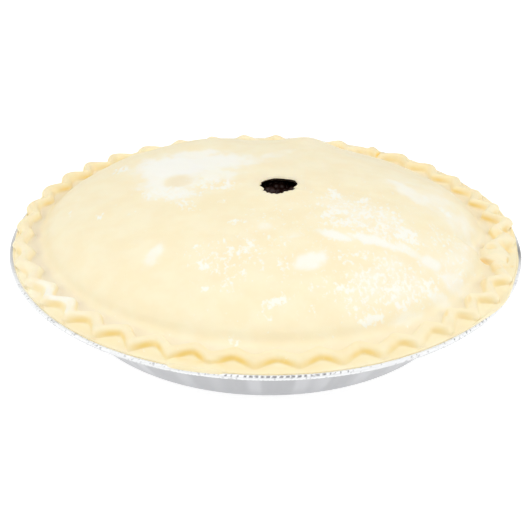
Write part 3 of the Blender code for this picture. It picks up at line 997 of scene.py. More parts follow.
@dataclass
class PastryLid:
    """The top sheet, from the vent out over the crimp to the edge on the bead."""

    dish: FoilDish
    dough: float = 3.2 * MM
    dome_radius: float = 97.5 * MM
    dome_rise: float = 23.7 * MM
    dome_power: float = 2.6
    dome_roundness: float = 0.6
    dome_rings: int = 60
    dome_steps: int = 480
    rim_steps: int = 960
    oval_swing: float = 1.5 * MM
    oval_angle: float = math.radians(-7)

    # Heights, from the underside up.
    edge_bottom: float = 27.2 * MM
    bottom: float = 27.3 * MM
    edge_top: float = 28.0 * MM
    dome_base: float = 28.4 * MM
    crimp_foot: float = 29.0 * MM
    groove: float = 29.1 * MM
    crimp_top: float = 32.4 * MM

    # The zigzag crimp, outside the groove.
    groove_start: float = 98.0 * MM
    crimps: int = 40
    crimp_radius: float = 106.0 * MM
    half_foot: float = 3.0 * MM
    half_inside: float = 3.9 * MM
    swing_inside: float = 3.1 * MM
    swing_outside: float = 4.1 * MM
    crimp_start: float = 6.5
    sharpness: float = 0.96
    valley_fill: float = 0.25
    brim_slope: float = 0.1
    edge_radius: float = 112.9 * MM

    # How the rim varies round the pie: sideways, in its shape, then outwards and upwards.
    drifts: Swells = swells(
        (212, 34, 2.2), (217, 14, -0.9), (25, 26, -2.3), (322, 18, -0.8), (275, 18, 0.6), (126, 14, 2.0)
    )
    leans: Swells = swells((305, 28, 0.6))
    broads: Swells = swells((148, 30, 0.9), (60, 30, 0.3))
    blunts: Swells = swells((262, 3, 0.5))
    shallows: Swells = swells(
        (272, 12, 0.3), (182, 22, 0.5), (40, 24, 0.25), (350, 7, 0.6), (302, 12, 0.18)
    )
    fills: Swells = swells((212, 24, 0.45))
    flats: Swells = swells((280, 34, 0.28))
    shifts: Swells = swells(
        (175, 34, 1.8), (85, 36, -1.6), (274, 30, 1.0), (302, 10, 0.6), (6, 7, 1.0), unit=MM
    )
    dome_spreads: Swells = swells((158, 34, 3.6), unit=MM)
    edge_reaches: Swells = swells(
        (329, 10, 1.7), (353, 7, 0.2), (9, 8, 1.3), (20, 7, 0.9), (156, 15, 1.0), (88, 30, -0.4), unit=MM
    )
    raises: Swells = swells((148, 26, 0.8), (7, 10, 0.8), (50, 20, 0.6), unit=MM)
    clefts: Swells = swells((345.6, 1.0, 1.3), (61.0, 0.9, 1.6), unit=MM)

    # Where the crimp's two ends overlap, and the thick flap over the bead.
    joint_start: float = 364
    joint_end: float = 346.5
    joint_cut: float = 1.6
    joint_reach: float = 8.5 * MM
    flap_start: float = 250.2
    flap_end: float = 262.8
    flap_turn: float = 1.5
    flap_height: float = 1.0 * MM
    flap_reach: float = 1.3 * MM
    flap_rise: tuple[float, float] = (109.0 * MM, 109.7 * MM)
    flap_crease: float = 109.4 * MM
    flap_crease_width: float = 0.4 * MM

    vent_x: float = 5.7 * MM
    vent_y: float = 0.6 * MM
    vent_radius: float = 7.7 * MM
    vent_dough: float = 1.0 * MM
    vent_flutes: int = 19
    flute_depth: float = 0.28 * MM
    vent_notches: Swells = swells(
        (24, 11, 0.9), (48, 18, 1.8), (-3, 6, -1.1), (-17, 6, 0.8), (-62, 27, -1.9), (-127, 13, 0.4),
        (-149, 8, 0.7), (-170, 7, -0.9), (168, 10, 0.6), (145, 18, 0.75), (97, 62, 2.5), unit=MM
    )

    humps: tuple[Hump, ...] = (
        Hump(-84, 26, 0.6, 20),
        Hump(-62, 52, 1.6, 18),
        Hump(-34, 68, 2.1, 18),
        Hump(-4, 74, -1.7, 16),
        Hump(20, 70, 2.5, 12),
        Hump(46, 70, -2.2, 18),
        Hump(68, 50, -2.2, 18),
        Hump(86, 22, 1.0, 18),
        Hump(-32, 40, -1.0, 15),
        Hump(6, 1, 1.0, 20),
        Hump(48, -30, 1.2, 24),
        Hump(-46, -34, 0.8, 26),
        Hump(2, -54, 0.9, 22),
    )
    humps_end: float = 97.4 * MM
    humps_whole: float = 86 * MM

    # Where flour lies on the rim, where the folds' painted shade is eased, broad yellow washes,
    # the painted shadow along the cut edge, and the groove's painted shade.
    groove_flour: Swells = swells((262, 30, 0.12), (200, 30, 0.2))
    crimp_flour: Swells = swells((216, 12, 0.7))
    flange_flour: Swells = swells((206, 16, 0.35))
    shade_eased: Swells = swells((205, 26, 0.5), (320, 24, 0.6))
    washes: Swells = swells((50, 36, 0.24), (150, 36, 0.22), (276, 40, 0.16))
    cut_edge_shadow: Swells = swells((240, 9, 0.75), (276, 8, 0.2))
    groove_shade: Swell = Swell(195, 50, 0.4)

    @property
    def crimp_inner(self) -> float:
        """Radius of the crimp's inner side, before it swings."""
        return self.crimp_radius - self.half_inside

    @property
    def crimp_outer(self) -> float:
        """Radius of the crimp's outer side, before it swings."""
        return self.crimp_radius + self.half_foot

    def _oval(self, angle: Values) -> Values:
        """How far the crimped ring stands out from a true circle."""
        return self.oval_swing * np.cos(2 * (angle - self.oval_angle))

    def _joint(self, angle: Values) -> Values:
        """How far the overlapping end of the crimp draws the pastry in.

        Args:
            angle: Places round the pie.

        Returns:
            The distance inwards.
        """
        degrees = (np.degrees(angle) - 180) % 360 + 180
        rising = smooth_step(-degrees, -self.joint_start, -self.joint_end)
        cut = smooth_step(degrees, self.joint_end - self.joint_cut, self.joint_end)
        return self.joint_reach * (rising * cut)

    def _flap(self, angle: Values) -> Values:
        """Where the thick flap folds out over the bead.

        Args:
            angle: Places round the pie.

        Returns:
            0 beside the flap and 1 on it.
        """
        degrees = np.degrees(angle) % 360
        rising = smooth_step(degrees, self.flap_start, self.flap_start + self.flap_turn)
        return rising * smooth_step(-degrees, -self.flap_end, self.flap_turn - self.flap_end)

    def _foot(self, angle: Values) -> Values:
        """Radius of the dome's foot at each angle."""
        out = self._oval(angle) + total(self.dome_spreads, angle)
        return self.dome_radius + out - self._joint(angle)

    def _zigzag(self, angle: Values) -> tuple[Values, Values]:
        """Bends an even zigzag as the fingers left it.

        Args:
            angle: Places round the plain rim.

        Returns:
            How far each place swings, 1 at the outer corners and -1 at the inner
            ones, and the angle that it drifts to.
        """
        wave = np.arcsin(self.sharpness * np.cos(self.crimps * angle)) / math.asin(self.sharpness)
        wave = wave + total(self.broads, angle) * (1 - 2 * (0.5 - 0.5 * wave) ** 2 - wave)
        blunt = total(self.blunts, angle + math.radians(self.crimp_start))
        wave = np.where(wave > 0.3, 0.3 + (wave - 0.3) * (1 - blunt), wave)
        lean = total(self.leans, angle) * np.cos(self.crimps * angle)
        angle = angle + np.radians(self.crimp_start + total(self.drifts, angle) - lean)
        return wave * (1 - total(self.shallows, angle)) * (1 + 0.1 * patchy(angle, 3, 11, 0.4)), angle

    def _swung(self, at: Polar, swing: Values) -> tuple[Values, Values]:
        """Swings the crimp in and out, keeping it off the dome and within the bead.

        Args:
            at: The rim's points, at the angles they drift to.
            swing: How far each one swings, from -1 to 1.

        Returns:
            The new radii, and which points lie in the groove.
        """
        radius, angle, height = at
        inner, outer = self.crimp_inner, self.crimp_outer
        on_top = np.interp(radius, (outer, self.edge_radius - 1 * MM), (1, 0)) * (height > self.edge_bottom)
        reach = np.interp(radius, (inner, outer), (self.swing_inside, self.swing_outside))
        outward = np.interp(radius, (inner, outer), (0, 1))
        fill = (self.valley_fill + total(self.fills, angle)) * outward
        swing_here = np.where(swing < 0, swing * (1 - fill), swing)
        swing_here = swing_here * (1 - total(self.flats, angle) * outward)
        whole = self._oval(angle) + total(self.shifts, angle)
        joint = self._joint(angle)
        ridge_edge = inner + self.swing_inside * swing + whole - joint
        foot = self._foot(angle) + self.groove_start - self.dome_radius
        kept_edge = smooth_max(ridge_edge, foot + 1.2 * MM, 1.5 * MM)
        pushed = (kept_edge - ridge_edge) * np.interp(radius, (inner, self.crimp_radius), (1, 0))
        along = np.interp(radius, (inner, outer), (1, 0.1))
        moved = radius + (reach * swing_here + whole - joint * along + pushed) * on_top
        limit = self.edge_radius - 1.1 * MM + 0.35 * (radius - outer) + 0.8 * total(self.edge_reaches, angle)
        at_tip = (height < self.crimp_foot + 0.5 * MM) & (radius > outer - 1.5 * MM) & (on_top > 0.1)
        moved = np.where(at_tip, -smooth_max(-moved, -limit, 0.6 * MM), moved)
        across = (radius - self.groove_start) / (inner - self.groove_start)
        in_groove = (across < 1) & (height > self.bottom + 1 * MM)
        return np.where(in_groove, foot + across * (kept_edge - foot), moved), in_groove

    def _crimped(self, at: Polar) -> Polar:
        """Turns the plain turned rim into the pinched one, with its groove.

        Args:
            at: The rim's points.

        Returns:
            Where they go.
        """
        radius, angle, height = at
        swing, angle = self._zigzag(angle)
        moved, in_groove = self._swung(Polar(radius, angle, height), swing)
        at_edge = smooth_step(radius, self.edge_radius - 2 * MM, self.edge_radius - 0.5 * MM)
        ragged = total(self.edge_reaches, angle) + 0.25 * MM * patchy(angle, 14, 9, 2)
        flap = self._flap(angle)
        moved = moved + at_edge * (ragged + self.flap_reach * flap)

        raised = smooth_step(height, self.crimp_foot, self.crimp_foot + 2 * MM) * (~in_groove)
        lift = (total(self.raises, angle) - total(self.clefts, angle)) * raised
        outer = self.crimp_outer
        at_foot = np.interp(radius, (outer - 0.5 * MM, outer, self.edge_radius), (0, 1, 0))
        slope = self.brim_slope * at_foot * (moved - (outer - self.swing_outside)) * (height > self.edge_top)
        flap = self.flap_height * flap * smooth_step(moved, *self.flap_rise)
        flap = flap * (height > self.edge_top - 0.1 * MM)
        laid = (self._bead_top(moved) - self.edge_bottom) * at_edge * (height > self.bottom - MM)
        return Polar(moved, angle, height + lift - slope + flap + laid)

    def _bead_top(self, radius: Values) -> Values:
        """Height at which the pastry's edge lies on the bead.

        Args:
            radius: Places across the rim.

        Returns:
            The height, not less than the edge's own.
        """
        bead_radius, bead_height = self.dish.bead_centre
        inward = np.clip((bead_radius - radius) / self.dish.bead_radius, 0, 1)
        top = bead_height + self.dish.bead_radius * np.sqrt(1 - inward**2) + 0.05 * MM
        return np.maximum(top, self.edge_bottom)

    def lift(self, radius: Values, angle: Values) -> Values:
        """How far the fruit lifts the lid, nothing at the dome's foot.

        Args:
            radius: How far out each place lies.
            angle: Where it lies round the pie.

        Returns:
            The rise.
        """
        x, y = radius * np.cos(angle), radius * np.sin(angle)
        rises = sum((hump.rise(x, y) for hump in self.humps), np.zeros_like(x))
        return rises * smooth_step(radius, self.humps_end, self.humps_whole)

    def _heaped(self, at: Polar) -> Polar:
        """Turns the plain turned dome into the one the fruit pushes up.

        Args:
            at: The dome's points.

        Returns:
            Where they go.
        """
        radius, angle, height = at
        outside = height > self.bottom + 0.1 * MM
        share = smooth_step(radius, 70 * MM, self.dome_radius) * outside
        near_foot = smooth_step(radius, self.dome_radius - 16 * MM, self.dome_radius) * outside
        out = self._oval(angle) + total(self.dome_spreads, angle)
        moved = radius + out * share - self._joint(angle) * near_foot
        return Polar(moved, angle, height + self.lift(radius, angle) * (height > self.bottom + 0.5 * MM))

    def _vented(self, at: Polar) -> Polar:
        """Moves the hole from the axis to the vent's own place, and tears its edge.

        Args:
            at: The dome's points, still round the axis.

        Returns:
            Where they go.
        """
        radius, angle, height = at
        near = 1 - smooth_step(radius, self.vent_radius, 5 * self.vent_radius)
        at_hole = 1 - smooth_step(radius, self.vent_radius, 2.3 * self.vent_radius)
        uneven = 0.6 - 0.5 * np.sin(angle) + 0.3 * np.sin(5 * angle + 0.7)
        flute = self.flute_depth * np.cos(self.vent_flutes * angle + 0.8 * np.sin(3 * angle)) * uneven
        torn = (total(self.vent_notches, angle) + flute) * at_hole
        x = (radius + torn) * np.cos(angle) + self.vent_x * near
        y = (radius + torn) * np.sin(angle) + self.vent_y * near
        return Polar(np.hypot(x, y), np.arctan2(y, x), height)

    def dome_height(self, radius: Values) -> Values:
        """Height of the lid's outside above the dome's base, before the humps."""
        share = np.clip(radius / self.dome_radius, 0, 1)
        return self.dome_rise * (1 - share**self.dome_power) ** self.dome_roundness

    def _dome_profile(self) -> Profile:
        """The dome's section.

        Returns:
            Its points, from the inner foot over the vent's edge to the outer foot.
        """
        first = math.asin(1.06 * self.vent_radius / self.dome_radius)
        last = math.asin(94.5 * MM / self.dome_radius)
        radii = self.dome_radius * np.sin(np.linspace(first, last, self.dome_rings))
        outside = [(r, self.dome_base + h) for r, h in zip(radii, self.dome_height(radii))]
        foot = [
            (95.7 * MM, self.groove + 2.5 * MM),
            (96.7 * MM, self.groove + 1.65 * MM),
            (self.dome_radius, self.groove + 1.1 * MM),
        ]
        inner_radius = self.dome_radius - self.dough - self.oval_swing
        inside = [
            (r * inner_radius / self.dome_radius, max(z - self.dough, self.bottom))
            for r, z in outside[2:-1:6]
        ]
        crown = outside[0][1]
        lip = [
            (self.vent_radius - 0.3 * MM, crown - self.vent_dough),
            (self.vent_radius - 0.35 * MM, crown - self.vent_dough + 0.25 * MM),
            (self.vent_radius - 0.05 * MM, crown - 0.6 * MM),
            (self.vent_radius + 0.2 * MM, crown - 0.15 * MM),
        ]
        return [(inner_radius, self.bottom), *inside[::-1], *lip, *outside, *foot]

    def _rim_profile(self) -> Profile:
        """The rim's section.

        Returns:
            Its points, from the groove over the crimp and brim to the underside.
        """
        groove = [
            (self.groove_start, self.groove + 1.0 * MM),
            (99.0 * MM, self.groove + 0.45 * MM),
            (100.2 * MM, self.groove + 0.1 * MM),
            (self.crimp_inner - 0.3 * MM, self.groove),
            (self.crimp_inner, self.groove + 0.1 * MM),
        ]
        top, foot = self.crimp_top, self.crimp_foot
        from_crimp = (
            (-3.6, self.groove, 0.9),
            (-3.0, top, -1.1),
            (-2.2, top, -0.2),
            (-1.0, top, 0.1),
            (0.4, top, -0.1),
            (1.3, top, -0.7),
            (2.0, top, -1.7),
            (2.5, foot, 0.8),
            (3.0, foot, 0.15),
            (3.8, foot, -0.06),
        )
        crimp = [(self.crimp_radius + out * MM, level + up * MM) for out, level, up in from_crimp]
        edge = [
            (self.edge_radius - 0.6 * MM, self.edge_top + 0.15 * MM),
            (self.edge_radius + 0.2 * MM, self.edge_top - 0.1 * MM),
            (self.edge_radius + 0.25 * MM, self.edge_bottom - 0.7 * MM),
            (self.edge_radius - 0.9 * MM, self.edge_bottom - 0.3 * MM),
            (self.dish.bead_centre[0] - 3.2 * MM, self.bottom),
        ]
        return groove[:-1] + rounded([groove[-1], *crimp, *edge], 2)

    def _bridge(self, lid: Piece) -> None:
        """Closes the groove and the underside between the dome and the rim.

        Args:
            lid: The dome and the rim, in one object.
        """
        split = self.bottom + 1 * MM
        for low in (True, False):
            bpy.ops.object.mode_set(mode="EDIT")
            bpy.ops.mesh.select_all(action="DESELECT")
            bpy.ops.mesh.select_mode(type="EDGE")
            bpy.ops.mesh.select_non_manifold(extend=False, use_boundary=True)
            bpy.ops.object.mode_set(mode="OBJECT")
            heights = points_of(lid)[:, 2]
            wrong = heights > split if low else heights <= split
            for edge in lid.data.edges:
                if edge.select and wrong[edge.vertices[0]]:
                    edge.select = False
            bpy.ops.object.mode_set(mode="EDIT")
            bpy.ops.mesh.bridge_edge_loops()
            bpy.ops.object.mode_set(mode="OBJECT")

    def _soften_folds(self, lid: Piece) -> None:
        """Lets the dome run softly into the groove, then rounds the groove and the crimp.

        Args:
            lid: The lid.
        """
        radius, angle, height = polar(lid)
        past_foot = radius - self._foot(angle) - 0.5 * MM
        outside = height > self.edge_top + 0.3 * MM
        for chosen in (outside & (np.abs(past_foot) < 2.6 * MM), outside & (past_foot > 0)):
            bpy.ops.object.mode_set(mode="EDIT")
            bpy.ops.mesh.select_mode(type="VERT")
            bpy.ops.mesh.select_all(action="DESELECT")
            bpy.ops.object.mode_set(mode="OBJECT")
            lid.data.vertices.foreach_set("select", chosen)
            bpy.ops.object.mode_set(mode="EDIT")
            bpy.ops.mesh.vertices_smooth(factor=0.5, repeat=5)
            bpy.ops.mesh.select_all(action="SELECT")
            bpy.ops.mesh.normals_make_consistent(inside=False)
            bpy.ops.object.mode_set(mode="OBJECT")

    def _roughen(self, lid: Piece) -> None:
        """Gives the dough its lumps, dents and finger-soft unevenness.

        Args:
            lid: The lid.
        """
        points = points_of(lid)
        normals = normals_of(lid)
        outside = (normals[:, 2] > -0.2) & (points[:, 2] > self.edge_bottom + 0.3 * MM)
        inland = 1 - smooth_step(polar(lid).radius, 85 * MM, 98 * MM)
        broad = 0.5 * MM * lumps(points, 26 * MM, 1) + 0.22 * MM * lumps(points, 11 * MM, 2)
        fine = 0.16 * MM * lumps(points, 4.5 * MM, 3) + 0.06 * MM * lumps(points, 1.9 * MM, 4)
        move_points(lid, points + normals * ((broad * inland + fine) * outside)[:, None])

    def _dust(self, lid: Piece) -> None:
        """Lays the flour: thin films and broken flecks on the dome, a film on the rim.

        Args:
            lid: The lid.
        """
        points = points_of(lid)
        x, y, z = points.T
        radius, angle, _ = polar(lid)
        on_dome = 1 - smooth_step(radius, 98 * MM, 102 * MM)
        in_groove = bell(radius, self._foot(angle), 5 * MM) * total(self.groove_flour, angle)
        on_crimp = smooth_step(z, self.crimp_top - 1.6 * MM, self.crimp_top - 0.4 * MM) * (1 - on_dome)
        on_crimp = on_crimp * (0.03 + total(self.crimp_flour, angle))
        on_flange = smooth_step(radius, 107 * MM, 109 * MM) * total(self.flange_flour, angle)
        ragged = lumps(points, 5 * MM, 7) + 0.6 * lumps(points, 2.5 * MM, 8)
        covers = {}
        for kind, marks in FLOUR_MARKS.items():
            patches = [mark.cover(x, y, RAGGEDNESS[kind] * ragged) for mark in marks]
            covers[kind] = np.maximum.reduce(patches) * on_dome
        kept = 1 - THUMB.cover(x, y, 0.1 * RAGGEDNESS[Dust.FILM] * ragged)
        rim = np.maximum.reduce([in_groove, on_crimp, on_flange]) * (1 + 0.4 * ragged)
        covers[Dust.FILM] = np.maximum(covers[Dust.FILM] * kept, rim)
        for kind, cover in covers.items():
            paint(lid, kind.value, cover)

    def _mark_butter_and_shade(self, lid: Piece) -> None:
        """Paints shade as a deeper yellow on the folds' sides, and the butter's yellow on the flange and in
        broad washes over the crimp.

        Args:
            lid: The lid.
        """
        radius, angle, height = polar(lid)
        normals = normals_of(lid)
        steep = 1 - smooth_step(normals[:, 2], 0.3, 0.9)
        low = 1 - smooth_step(height, self.crimp_foot + 0.9 * MM, self.crimp_top + 0.3 * MM)
        level = np.hypot(normals[:, 0], normals[:, 1]) + 0.001
        forward = -(normals[:, 1] + 0.15 * normals[:, 0]) / level
        facing_front = 0.4 + 0.85 * smooth_step(forward, 0.1, 0.9)
        phase = self.crimps * (angle - np.radians(self.crimp_start + total(self.drifts, angle)))
        in_valley = 0.4 + 0.6 * smooth_step(-np.cos(phase), -1.0, 0.6)
        # Painted shade: strongest on steep, low walls in the valleys that face the front, where the tent
        # opens.
        shaded = np.minimum(steep * low * facing_front * in_valley, 1)
        flat = 0.2 * smooth_step(radius, 107 * MM, 110 * MM) * low
        at_edge = 1 - 0.8 * smooth_step(radius, 110.5 * MM, 112 * MM)
        shade_kept = 1 - total(self.shade_eased, angle)
        # Painted shade along the flap's crease.
        crease_shade = self._flap(angle) * bell(radius, self.flap_crease, self.flap_crease_width)
        crease_shade = crease_shade * (1 - smooth_step(height, self.crimp_foot + 0.9 * MM, self.crimp_foot + 1.6 * MM))
        washed = total(self.washes, angle) * (height > self.crimp_foot)
        shade_and_butter = np.maximum.reduce([np.maximum(shaded, flat) * at_edge * shade_kept, 0.9 * crease_shade, washed])
        paint(lid, "butter_and_shade", blurred(lid, shade_and_butter * smooth_step(radius, 99 * MM, 102 * MM), 6))

    def _mark_hollow_shade(self, lid: Piece) -> None:
        """Paints shade into the groove, the ring round the vent and the thumb mark, and paints the vent's
        cut side dark brown.

        Args:
            lid: The lid.
        """
        x, y, z = points_of(lid).T
        radius, angle, _ = polar(lid)
        foot = self._foot(angle)
        inside = 1 - smooth_step(radius, foot + 5 * MM, foot + 8 * MM)
        sunk = 1 - smooth_step(z, self.groove + 0.5 * MM, self.groove + 1.3 * MM)
        # Painted shade in the groove, stronger on the left.
        in_groove = inside * sunk * (0.45 + self.groove_shade.along(angle))
        from_vent = np.hypot(x - self.vent_x, y - self.vent_y) / self.vent_radius
        ring = 0.5 * bell(from_vent, 1.42, 0.16) * (y > self.vent_y - 4 * MM)
        sunken = np.maximum.reduce([in_groove, ring, 0.5 * THUMB.cover(x, y)])
        paint(lid, "hollow_shade", blurred(lid, sunken * (z > self.bottom + 1 * MM), 3))
        # The vent's cut side, where it faces sideways, is painted dark brown.
        facing_in = 1 - smooth_step(normals_of(lid)[:, 2], 0.1, 0.5)
        paint(lid, "vent_wall_dark", (1 - smooth_step(from_vent, 1.5, 1.8)) * facing_in)

    def _dent(self, lid: Piece) -> None:
        """Presses the creases and pits of the crimping, paints shade into them, and paints a shadow line
        along the cut edge.

        Args:
            lid: The lid.
        """
        points = points_of(lid)
        radius, angle, _ = polar(lid)
        x, y, z = points.T
        top = smooth_step(z, self.edge_top, self.edge_top + 0.3 * MM)
        crease_shade = np.zeros_like(x)
        for dent in DENTS:
            cover = dent.cover(x, y) * top
            points[:, 2] -= dent.depth * MM * cover
            crease_shade = np.maximum(crease_shade, dent.shade_tint * cover)
        move_points(lid, points)
        # Painted shadow along the lower side of the cut edge.
        low = 1 - smooth_step(z, self.edge_bottom + 0.1 * MM, self.edge_top - 0.2 * MM)
        cut = smooth_step(radius, self.edge_radius - 0.5 * MM, self.edge_radius) * low
        cut = cut * (0.12 + total(self.cut_edge_shadow, angle)) * (1 - self._flap(angle))
        paint(lid, "crease_shade", np.maximum(crease_shade, cut))

    def build(self) -> Piece:
        """Models the lid in one piece and dresses it in raw shortcrust.

        Returns:
            The lid.
        """
        lid = turned("pastry_lid", self._dome_profile(), self.dome_steps)
        reshape(lid, self._vented)
        reshape(lid, self._heaped)
        rim = turned("rim", self._rim_profile(), self.rim_steps)
        reshape(rim, self._crimped)
        select_only(lid)
        rim.select_set(True)
        bpy.ops.object.join()
        self._bridge(lid)
        self._soften_folds(lid)
        self._roughen(lid)
        self._dust(lid)
        self._mark_butter_and_shade(lid)
        self._mark_hollow_shade(lid)
        self._dent(lid)
        finish_piece(lid, "lid_pastry", RawShortcrust().build())
        return lid


# ---------------------------------------------------------------------------
# Pastry base
# ---------------------------------------------------------------------------


@dataclass
class PastryBase:
    """The sheet that lines the dish and lies out over its brim."""

    dish: FoilDish
    gap: float = 0.3 * MM
    dough: float = 3.0 * MM
    brim_dough: float = 1.0 * MM
    brim_radius: float = 112.2 * MM
    most_trim: float = 1.0 * MM
    steps: int = 368

    @property
    def outer(self) -> float:
        """Distance in from the foil's outside to the pastry's outside."""
        return self.dish.foil + self.gap + 0.2 * MM

    @property
    def floor(self) -> float:
        """Height of the pastry's underside."""
        return self.dish.foot_panel_raise + self.dish.foil + self.gap

    @property
    def brim_top(self) -> float:
        """Height of the pastry's top over the dish's brim."""
        return self.dish.brim_height + self.dish.foil + self.gap + self.brim_dough

    def _profile(self) -> Profile:
        """The whole section.

        Returns:
            Its points, from the middle of the inside round to the underside.
        """
        side = self.dish.side_radius
        top, brim = self.brim_top, self.brim_top - self.brim_dough
        floor, inner = self.floor + self.dough, self.outer + self.dough
        section = [
            (0, floor),
            (side(inner, floor), floor),
            (side(inner, top), top),
            (self.brim_radius, top),
            (self.brim_radius, brim),
            (side(self.outer, brim), brim),
            (side(self.outer, self.floor + 1 * MM), self.floor + 1 * MM),
            (self.dish.foot_flat_radius - 1 * MM, self.floor),
            (0, self.floor),
        ]
        return rounded(section, 2)

    def _drawn_back(self, at: Polar) -> Polar:
        """Trims the edge unevenly, never out to the bead.

        Args:
            at: The sheet's points.

        Returns:
            Where they go.
        """
        radius, angle, height = at
        at_edge = smooth_step(radius, 110 * MM, 112 * MM)
        trim = 0.5 * self.most_trim * (1 + patchy(angle, 7, 4, 0.6))
        return Polar(radius - trim * at_edge, angle, height)

    def build(self) -> Piece:
        """Models the base and dresses it in the same dough, with no flour on it.

        Returns:
            The base.
        """
        base = turned("pastry_base", self._profile(), self.steps)
        reshape(base, self._drawn_back)
        finish = RawShortcrust(name="raw_shortcrust_base", dough="#F0D492", dough_pale="#F3DCA4")
        finish_piece(base, "base_pastry", finish.build())
        return base


# ---------------------------------------------------------------------------
# Bramble filling
# ---------------------------------------------------------------------------


@dataclass(frozen=True)
class Bramble:
    """One fruit under the vent: its place and length in mm, its turn and tilt in degrees."""

    x: float
    y: float
    z: float
    length: float
    turn: float
    tilt: float

    @property
    def place(self) -> Matrix:
        """Where the fruit lies and how it is turned."""
        turn = Matrix.Rotation(math.radians(self.turn), 4, "Z")
        tilt = Matrix.Rotation(math.radians(self.tilt), 4, "X")
        return Matrix.Translation(Vector((self.x, self.y, self.z)) * MM) @ turn @ tilt


@dataclass
class BrambleFilling:
    """Fruit in thick syrup, with the whole brambles that show through the vent."""

    lid: PastryLid
    base: PastryBase
    steps: int = 160
    rings: int = 24
    below_lid: float = 4.9 * MM
    vent_sag: float = 2.2 * MM
    lumpiness: float = 0.5 * MM
    drupelets: int = 44
    drupelet_radius: float = 2.0 * MM
    drupelet_flatness: float = 0.85
    slimness: float = 0.72
    fruit: tuple[Bramble, ...] = (
        Bramble(1, 5, 43.5, 17, 20, 70),
        Bramble(14, 7, 43.0, 18, 110, 80),
        Bramble(10, -6, 42.5, 16, 200, 75),
        Bramble(-3, -5, 42.5, 18, 300, 65),
        Bramble(4, 16, 43.0, 17, 60, 85),
        Bramble(20, -3, 42.0, 17, 160, 80),
        Bramble(-10, 8, 42.0, 16, 250, 85),
    )

    def _profile(self) -> Profile:
        """The core's section.

        Returns:
            Its points, from the middle of its top round to its underside.
        """
        lid, base = self.lid, self.base
        wall = base.outer + base.dough + base.gap
        floor = base.floor + base.dough + base.gap
        top_radius = lid.dome_radius - lid.dough - 3.5 * MM
        radii = top_radius * np.sin(0.5 * math.pi * np.linspace(0, 1, self.rings + 1))
        heights = lid.dome_base + lid.dome_height(radii * lid.dome_radius / top_radius) - self.below_lid
        top = [(r, max(z, base.brim_top)) for r, z in zip(radii, heights)]
        return [*top, (base.dish.side_radius(wall, floor), floor), (0, floor)]

    def _settled(self, at: Polar) -> Polar:
        """Lets the fruit follow the lid's humps, and sink where the vent shows it.

        Args:
            at: The core's points.

        Returns:
            Where they go.
        """
        radius, angle, height = at
        lid = self.lid
        x, y = radius * np.cos(angle), radius * np.sin(angle)
        on_top = smooth_step(height, 26 * MM, 27 * MM)
        from_vent = (x - lid.vent_x) ** 2 + (y - lid.vent_y) ** 2
        sag = self.vent_sag * np.exp(-from_vent / (2 * lid.vent_radius) ** 2)
        berries = self.lumpiness * (1 + np.sin(8 * angle) * np.cos(radius / (4 * MM)))
        return Polar(radius, angle, height + (lid.lift(radius, angle) - sag - berries) * on_top)

    def _core(self) -> Piece:
        """Models the syrupy core, lumpy on top.

        Returns:
            The core.
        """
        core = turned("filling_core", self._profile(), self.steps)
        reshape(core, self._settled)
        points = points_of(core)
        points[:, 2] += self.lumpiness * (lumps(points, 6 * MM, 11) - 0.6) * (points[:, 2] > 26 * MM)
        move_points(core, points)
        return core

    def _drupelet(self) -> Piece:
        """Models one bead of fruit, a little flattened where it sits.

        Returns:
            The bead.
        """
        deselect_all()
        bpy.ops.mesh.primitive_ico_sphere_add(subdivisions=2, radius=self.drupelet_radius)
        bead = bpy.context.object
        bpy.ops.object.mode_set(mode="EDIT")
        bpy.ops.transform.resize(value=(1, 1, self.drupelet_flatness))
        bpy.ops.object.mode_set(mode="OBJECT")
        return bead

    def _whole_fruit(self, bramble: Bramble, bead: Piece) -> Piece:
        """Sets copies of the bead in a spiral over an egg shape.

        Args:
            bramble: The fruit's place and size.
            bead: The drupelet that is copied.

        Returns:
            The fruit, in one object.
        """
        half = 0.5 * bramble.length * MM - self.drupelet_radius
        girth = self.slimness * half
        place = bramble.place
        golden = math.pi * (3 - math.sqrt(5))
        copies = []
        for i in range(self.drupelets):
            up = 1 - 2 * (i + 0.5) / self.drupelets
            side = math.sqrt(1 - up * up)
            out = Vector((side * math.cos(golden * i), side * math.sin(golden * i), up))
            spot = Vector((out.x * girth, out.y * girth, out.z * half))
            copy = bpy.data.objects.new("drupelet", bead.data.copy())
            bpy.context.scene.collection.objects.link(copy)
            facing = out.to_track_quat("Z", "Y").to_matrix().to_4x4()
            copy.data.transform(place @ Matrix.Translation(spot) @ facing)
            copies.append(copy)
        select_only(copies[0])
        for copy in copies:
            copy.select_set(True)
        bpy.ops.object.join()
        return copies[0]

    def build(self) -> list[Piece]:
        """Models the syrupy core and the whole fruit, and dresses both.

        Returns:
            The core, then each fruit.
        """
        made = [self._core()]
        bead = self._drupelet()
        for number, bramble in enumerate(self.fruit, start=1):
            fruit = self._whole_fruit(bramble, bead)
            fruit.name = f"bramble_{number}"
            made.append(fruit)
        bpy.data.objects.remove(bead)
        skin = BrambleSkin().build()
        for piece in made:
            finish_piece(piece, "berry_filling", skin)
        return made


# ---------------------------------------------------------------------------
# Studio
# ---------------------------------------------------------------------------


@dataclass(frozen=True)
class Softbox:
    """One large soft light: where it hangs, its size and its power. It faces the pie."""

    name: str
    place: tuple[float, float, float]
    width: float
    power: float


